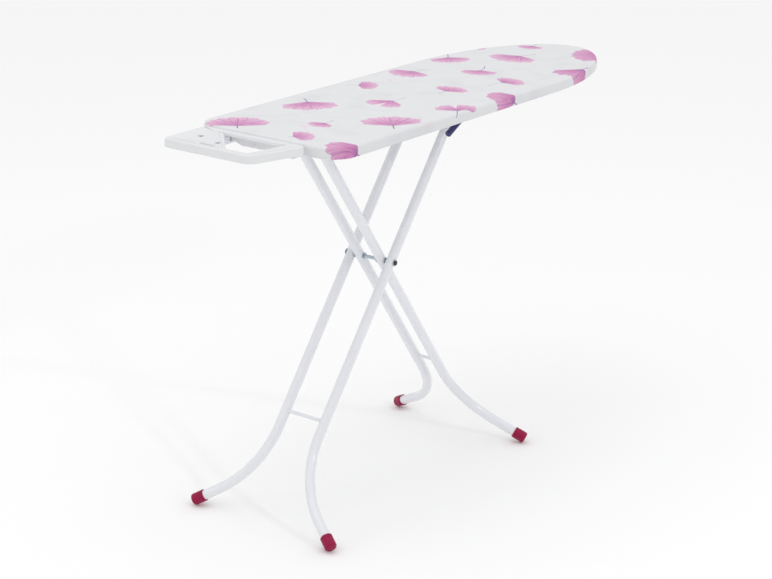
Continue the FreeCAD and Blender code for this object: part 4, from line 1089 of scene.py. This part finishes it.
screwShape = {
    "head": 5.4, "dome": 1.6, "shank": 2.0, "length": 14.0,
    "cross": 6.4, "slot": 1.4, "crossDepth": 1.4, "sunk": 1.2,
}


def makeRestScrews(shape):
    low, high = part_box("rest_screws")
    made = []
    for x, y in restShape["screws"]:
        top = high.z - shape["sunk"] * millimetre
        profile = [(0, 0.0)]
        profile += [(shape["head"] * math.sin(math.radians(b)),
                     -shape["dome"] * (1 - math.cos(math.radians(b))))
                    for b in (20, 40, 60, 75, 90)]
        profile += [(shape["head"], -shape["dome"] - 0.5), (shape["shank"], -shape["dome"] - 0.6),
                    (shape["shank"], -shape["length"] + 2), (0, -shape["length"])]
        place = (x * millimetre, y * millimetre, top)
        screw = looseObject("screw", *lathe(profile, 32, place))
        cutters = []
        for turn in (25, 115):
            c, s = math.cos(math.radians(turn)), math.sin(math.radians(turn))
            half, thin = shape["cross"] / 2, shape["slot"] / 2
            corners = [(half, thin), (-half, thin), (-half, -thin), (half, -thin)]
            spots = [((a * c - b * s) * millimetre + place[0], (a * s + b * c) * millimetre + place[1],
                      top + rise * millimetre) for rise in (2.0, -shape["crossDepth"]) for a, b in corners]
            faces = [(0, 1, 2, 3), (7, 6, 5, 4)]
            faces += [(k, k + 4, (k + 1) % 4 + 4, (k + 1) % 4) for k in range(4)]
            cutters.append(looseObject("cross", spots, faces))
        cutWith(screw, cutters)
        made.append(screw)
    joined = bmesh.new()
    for screw in made:
        joined.from_mesh(screw.data)
        bpy.data.objects.remove(screw)
    mesh = bpy.data.meshes.new("cross_head_screws")
    joined.to_mesh(mesh)
    joined.free()
    piece = bpy.data.objects.new("cross_head_screws", mesh)
    bpy.context.scene.collection.objects.link(piece)
    finishPiece(piece, zincPlatedSteel, "board")
    sharpEdges(mesh, 30)
    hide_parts("rest_screws")


makeRestScrews(screwShape)
print("the rest is screwed down")


# small turned, bent and sewn pieces

def sweepTube(path, radius, sides=10):
    # a round wire along a list of points, closed at both ends
    points, faces = [], []
    side = None
    for k, spot in enumerate(path):
        along = (path[min(k + 1, len(path) - 1)] - path[max(k - 1, 0)]).normalized()
        side = (side or along.orthogonal()) - along * along.dot(side or along.orthogonal())
        side.normalize()
        up = along.cross(side)
        for j in range(sides):
            turn = 2 * math.pi * j / sides
            points.append(spot + (side * math.cos(turn) + up * math.sin(turn)) * radius)
    for k in range(len(path) - 1):
        for j in range(sides):
            after = (j + 1) % sides
            faces.append((k * sides + j, k * sides + after, (k + 1) * sides + after, (k + 1) * sides + j))
    faces += [tuple(reversed(range(sides))), tuple(range((len(path) - 1) * sides, len(path) * sides))]
    return [tuple(p) for p in points], faces


springShape = {"wire": 0.85, "radius": 5.7, "turns": 7.5, "leg": 13.0}


def makeSpring(shape):
    low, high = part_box("lever_spring")
    middle = (low + high) / 2
    path = []
    total, wire = int(shape["turns"] * 22), shape["wire"] * millimetre
    for k in range(total + 1):
        turn = 2 * math.pi * k / 22
        along = low.y + wire + (high.y - low.y - 2 * wire) * k / total
        path.append(Vector((middle.x + shape["radius"] * millimetre * math.cos(turn), along,
                            middle.z + shape["radius"] * millimetre * math.sin(turn))))
    # the legs run off along the coil's first and last directions
    first, last = (path[0] - path[1]).normalized(), (path[-1] - path[-2]).normalized()
    path = [path[0] + first * shape["leg"] * 0.7 * millimetre * t for t in (1.0, 0.5)] + path
    path += [path[-1] + last * shape["leg"] * 0.7 * millimetre * t for t in (0.5, 1.0)]
    spring = looseObject("lever_torsion_spring", *sweepTube(path, shape["wire"] * millimetre, 8))
    finishPiece(spring, zincPlatedSteel, "board")
    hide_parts("lever_spring")


makeSpring(springShape)

beadShape = {"bead": 1.3, "ripple": 0.25, "sink": 0.6, "steps": 48, "sides": 8}


def makeWeldBeads(shape, bar, body, name):
    # a rippled fillet of weld where a crossbar meets each tube
    low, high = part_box(bar)
    middle, rod = (low + high) / 2, (high.z - low.z) / 2
    points, faces = [], []
    for y, way in ((low.y, 1), (high.y, -1)):
        start = len(points)
        for k in range(shape["steps"]):
            turn = 2 * math.pi * k / shape["steps"]
            bead = shape["bead"] + shape["ripple"] * math.sin(turn * 11)
            for j in range(shape["sides"]):
                bend = 2 * math.pi * j / shape["sides"]
                away = rod + bead * millimetre * math.cos(bend)
                points.append((middle.x + away * math.cos(turn),
                               y + way * (shape["sink"] + bead * math.sin(bend)) * millimetre,
                               middle.z + away * math.sin(turn)))
        for k in range(shape["steps"]):
            for j in range(shape["sides"]):
                here, there = start + k * shape["sides"], start + (k + 1) % shape["steps"] * shape["sides"]
                after = (j + 1) % shape["sides"]
                faces.append((here + j, here + after, there + after, there + j))
    beads = looseObject(name, points, faces)
    finishPiece(beads, whitePowderCoat, body)


makeWeldBeads(beadShape, "inner_crossbar", "inner_leg", "inner_weld_beads")
makeWeldBeads(beadShape, "outer_crossbar", "outer_leg", "outer_weld_beads")

footShape = {
    "radius": 13.5, "length": 31.0, "round": 5.0, "bore": 11.02, "cup": 26.0,
    "flutes": 20, "fluteDepth": 0.22, "steps": 120,
    "innerTilt": 35.45, "innerBend": 57.0, "outerTilt": -37.2, "outerBend": 52.0,
}


def makeFootCap(shape, leg, where):
    tilt, bend = math.radians(shape[leg + "Tilt"]), math.radians(shape[leg + "Bend"])
    out = -1 if where == "near" else 1
    axis = Vector((math.sin(tilt) * math.cos(bend), out * math.sin(bend), -math.cos(tilt) * math.cos(bend)))
    low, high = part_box(leg + "_foot_cap_" + where)
    middle = (low + high) / 2
    half, full, soft = shape["length"] / 2, shape["radius"], shape["round"]
    # (radius, height, share of the fluting), from the sole to the mouth and down inside
    profile = [(0, half, 0), (full - soft - 2.0, half, 0), (full - soft - 1.0, half - 0.5, 0)]
    profile += [(full - soft + soft * math.sin(math.radians(b)),
                 half - soft + soft * math.cos(math.radians(b)), 0.2)
                for b in (0, 20, 40, 60, 80)]
    profile += [(full, half - soft - 1.5, 1), (full, -half + 6.0, 1), (full, -half + 5.2, 0),
                (full - 0.5, -half + 4.8, 0),
                (full - 0.5, -half + 4.0, 0), (full, -half + 3.6, 0), (full, -half + 0.8, 0),
                (full - 0.8, -half, 0), (shape["bore"], -half, 0), (shape["bore"], -half + shape["cup"], 0),
                (0, -half + shape["cup"], 0)]
    turnTo = Vector((0, 0, 1)).rotation_difference(axis)
    points, faces = lathe([(r, h) for r, h, f in profile], shape["steps"], (0, 0, 0))
    share = []
    for r, h, f in profile:
        share += [f] * (1 if r == 0 else shape["steps"])
    placed = []
    for (x, y, z), f in zip(points, share):
        turn = math.atan2(y, x)
        dip = f * shape["fluteDepth"] * millimetre * (0.5 - 0.5 * math.cos(turn * shape["flutes"]))
        away = math.hypot(x, y)
        scale = (away - dip) / away if away else 1.0
        placed.append(tuple(middle + turnTo @ Vector((x * scale, y * scale, z))))
    cap = looseObject("fluted_foot_" + leg + "_" + where, placed, faces)
    finishPiece(cap, crimsonPlastic, leg + "_leg")
    sharpEdges(cap.data, 38)
    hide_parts(leg + "_foot_cap_" + where)


for legName in ("inner", "outer"):
    for sideName in ("near", "far"):
        makeFootCap(footShape, legName, sideName)
print("the spring, welds and feet are made")

stitchShape = {"inset": 21.0, "pitch": 4.5, "length": 2.6, "radius": 0.38}
stitchLook = {"colour": "#F4F4F2", "shade": "#E4E4E0", "twist": 0.8}


def makeThread(look):
    # twisted polyester sewing thread: a soft sheen, finely ridged
    material, tree, shader = startMaterial("sewing_thread", Sheen_Weight=0.2)
    place = mottled(tree, shader, look, look["twist"] * 4, (0.55, 0.7))
    grained(tree, shader, place, look["twist"], 0.4, 0.1)
    return material


def stitchTree():
    tree = bpy.data.node_groups.new("hem_stitching", "GeometryNodeTree")
    tree.interface.new_socket("Geometry", in_out="INPUT", socket_type="NodeSocketGeometry")
    for name, value in (("Pitch", 0.0045), ("Stitch Length", 0.0026), ("Thread Radius", 0.0004)):
        tree.interface.new_socket(name, in_out="INPUT", socket_type="NodeSocketFloat").default_value = value
    tree.interface.new_socket("Material", in_out="INPUT", socket_type="NodeSocketMaterial")
    tree.interface.new_socket("Geometry", in_out="OUTPUT", socket_type="NodeSocketGeometry")
    given = addNode(tree, "NodeGroupInput").outputs
    seam = addNode(tree, "GeometryNodeMeshToCurve", {"Mesh": given["Geometry"]})
    spots = addNode(tree, "GeometryNodeCurveToPoints", {
        "Curve": seam, "Length": given["Pitch"]}, mode="LENGTH")
    thread = addNode(tree, "GeometryNodeMeshCylinder", {
        "Vertices": 6, "Radius": given["Thread Radius"], "Depth": given["Stitch Length"]})
    laid = addNode(tree, "GeometryNodeInstanceOnPoints", {
        "Points": spots.outputs["Points"], "Instance": thread, "Rotation": spots.outputs["Rotation"]})
    real = addNode(tree, "GeometryNodeRealizeInstances", {"Geometry": laid})
    addNode(tree, "NodeGroupOutput", {"Geometry": addNode(tree, "GeometryNodeSetMaterial", {
        "Geometry": real, "Material": given["Material"]})})
    return tree


def makeStitches(shape):
    thread = makeThread(stitchLook)
    depth = (coverHigh.z - coverLow.z) / millimetre
    path = []
    for point, normal, girth in boardOutline:
        out = puckerHere(coverShape, point, girth, depth, shape["inset"])
        plan = point - normal * shape["inset"] * millimetre
        droop = flapHere(coverShape, point, girth, depth, shape["inset"])
        path.append((plan.x, plan.y, coverLow.z + (abs(out) * 1.2 - 0.15 - droop) * millimetre))
    loose = looseObject("seam", [], [])
    loose.data.from_pydata(path, [(k, (k + 1) % len(path)) for k in range(len(path))], [])
    mesh = throughNodes(loose, stitchTree(), {
        "Pitch": shape["pitch"] * millimetre, "Stitch Length": shape["length"] * millimetre,
        "Thread Radius": shape["radius"] * millimetre, "Material": thread})
    stitches = bpy.data.objects.new("hem_stitches", mesh)
    bpy.context.scene.collection.objects.link(stitches)
    finishPiece(stitches, thread, "board")
    return stitches


hemStitches = makeStitches(stitchShape)
print("the hem is stitched")
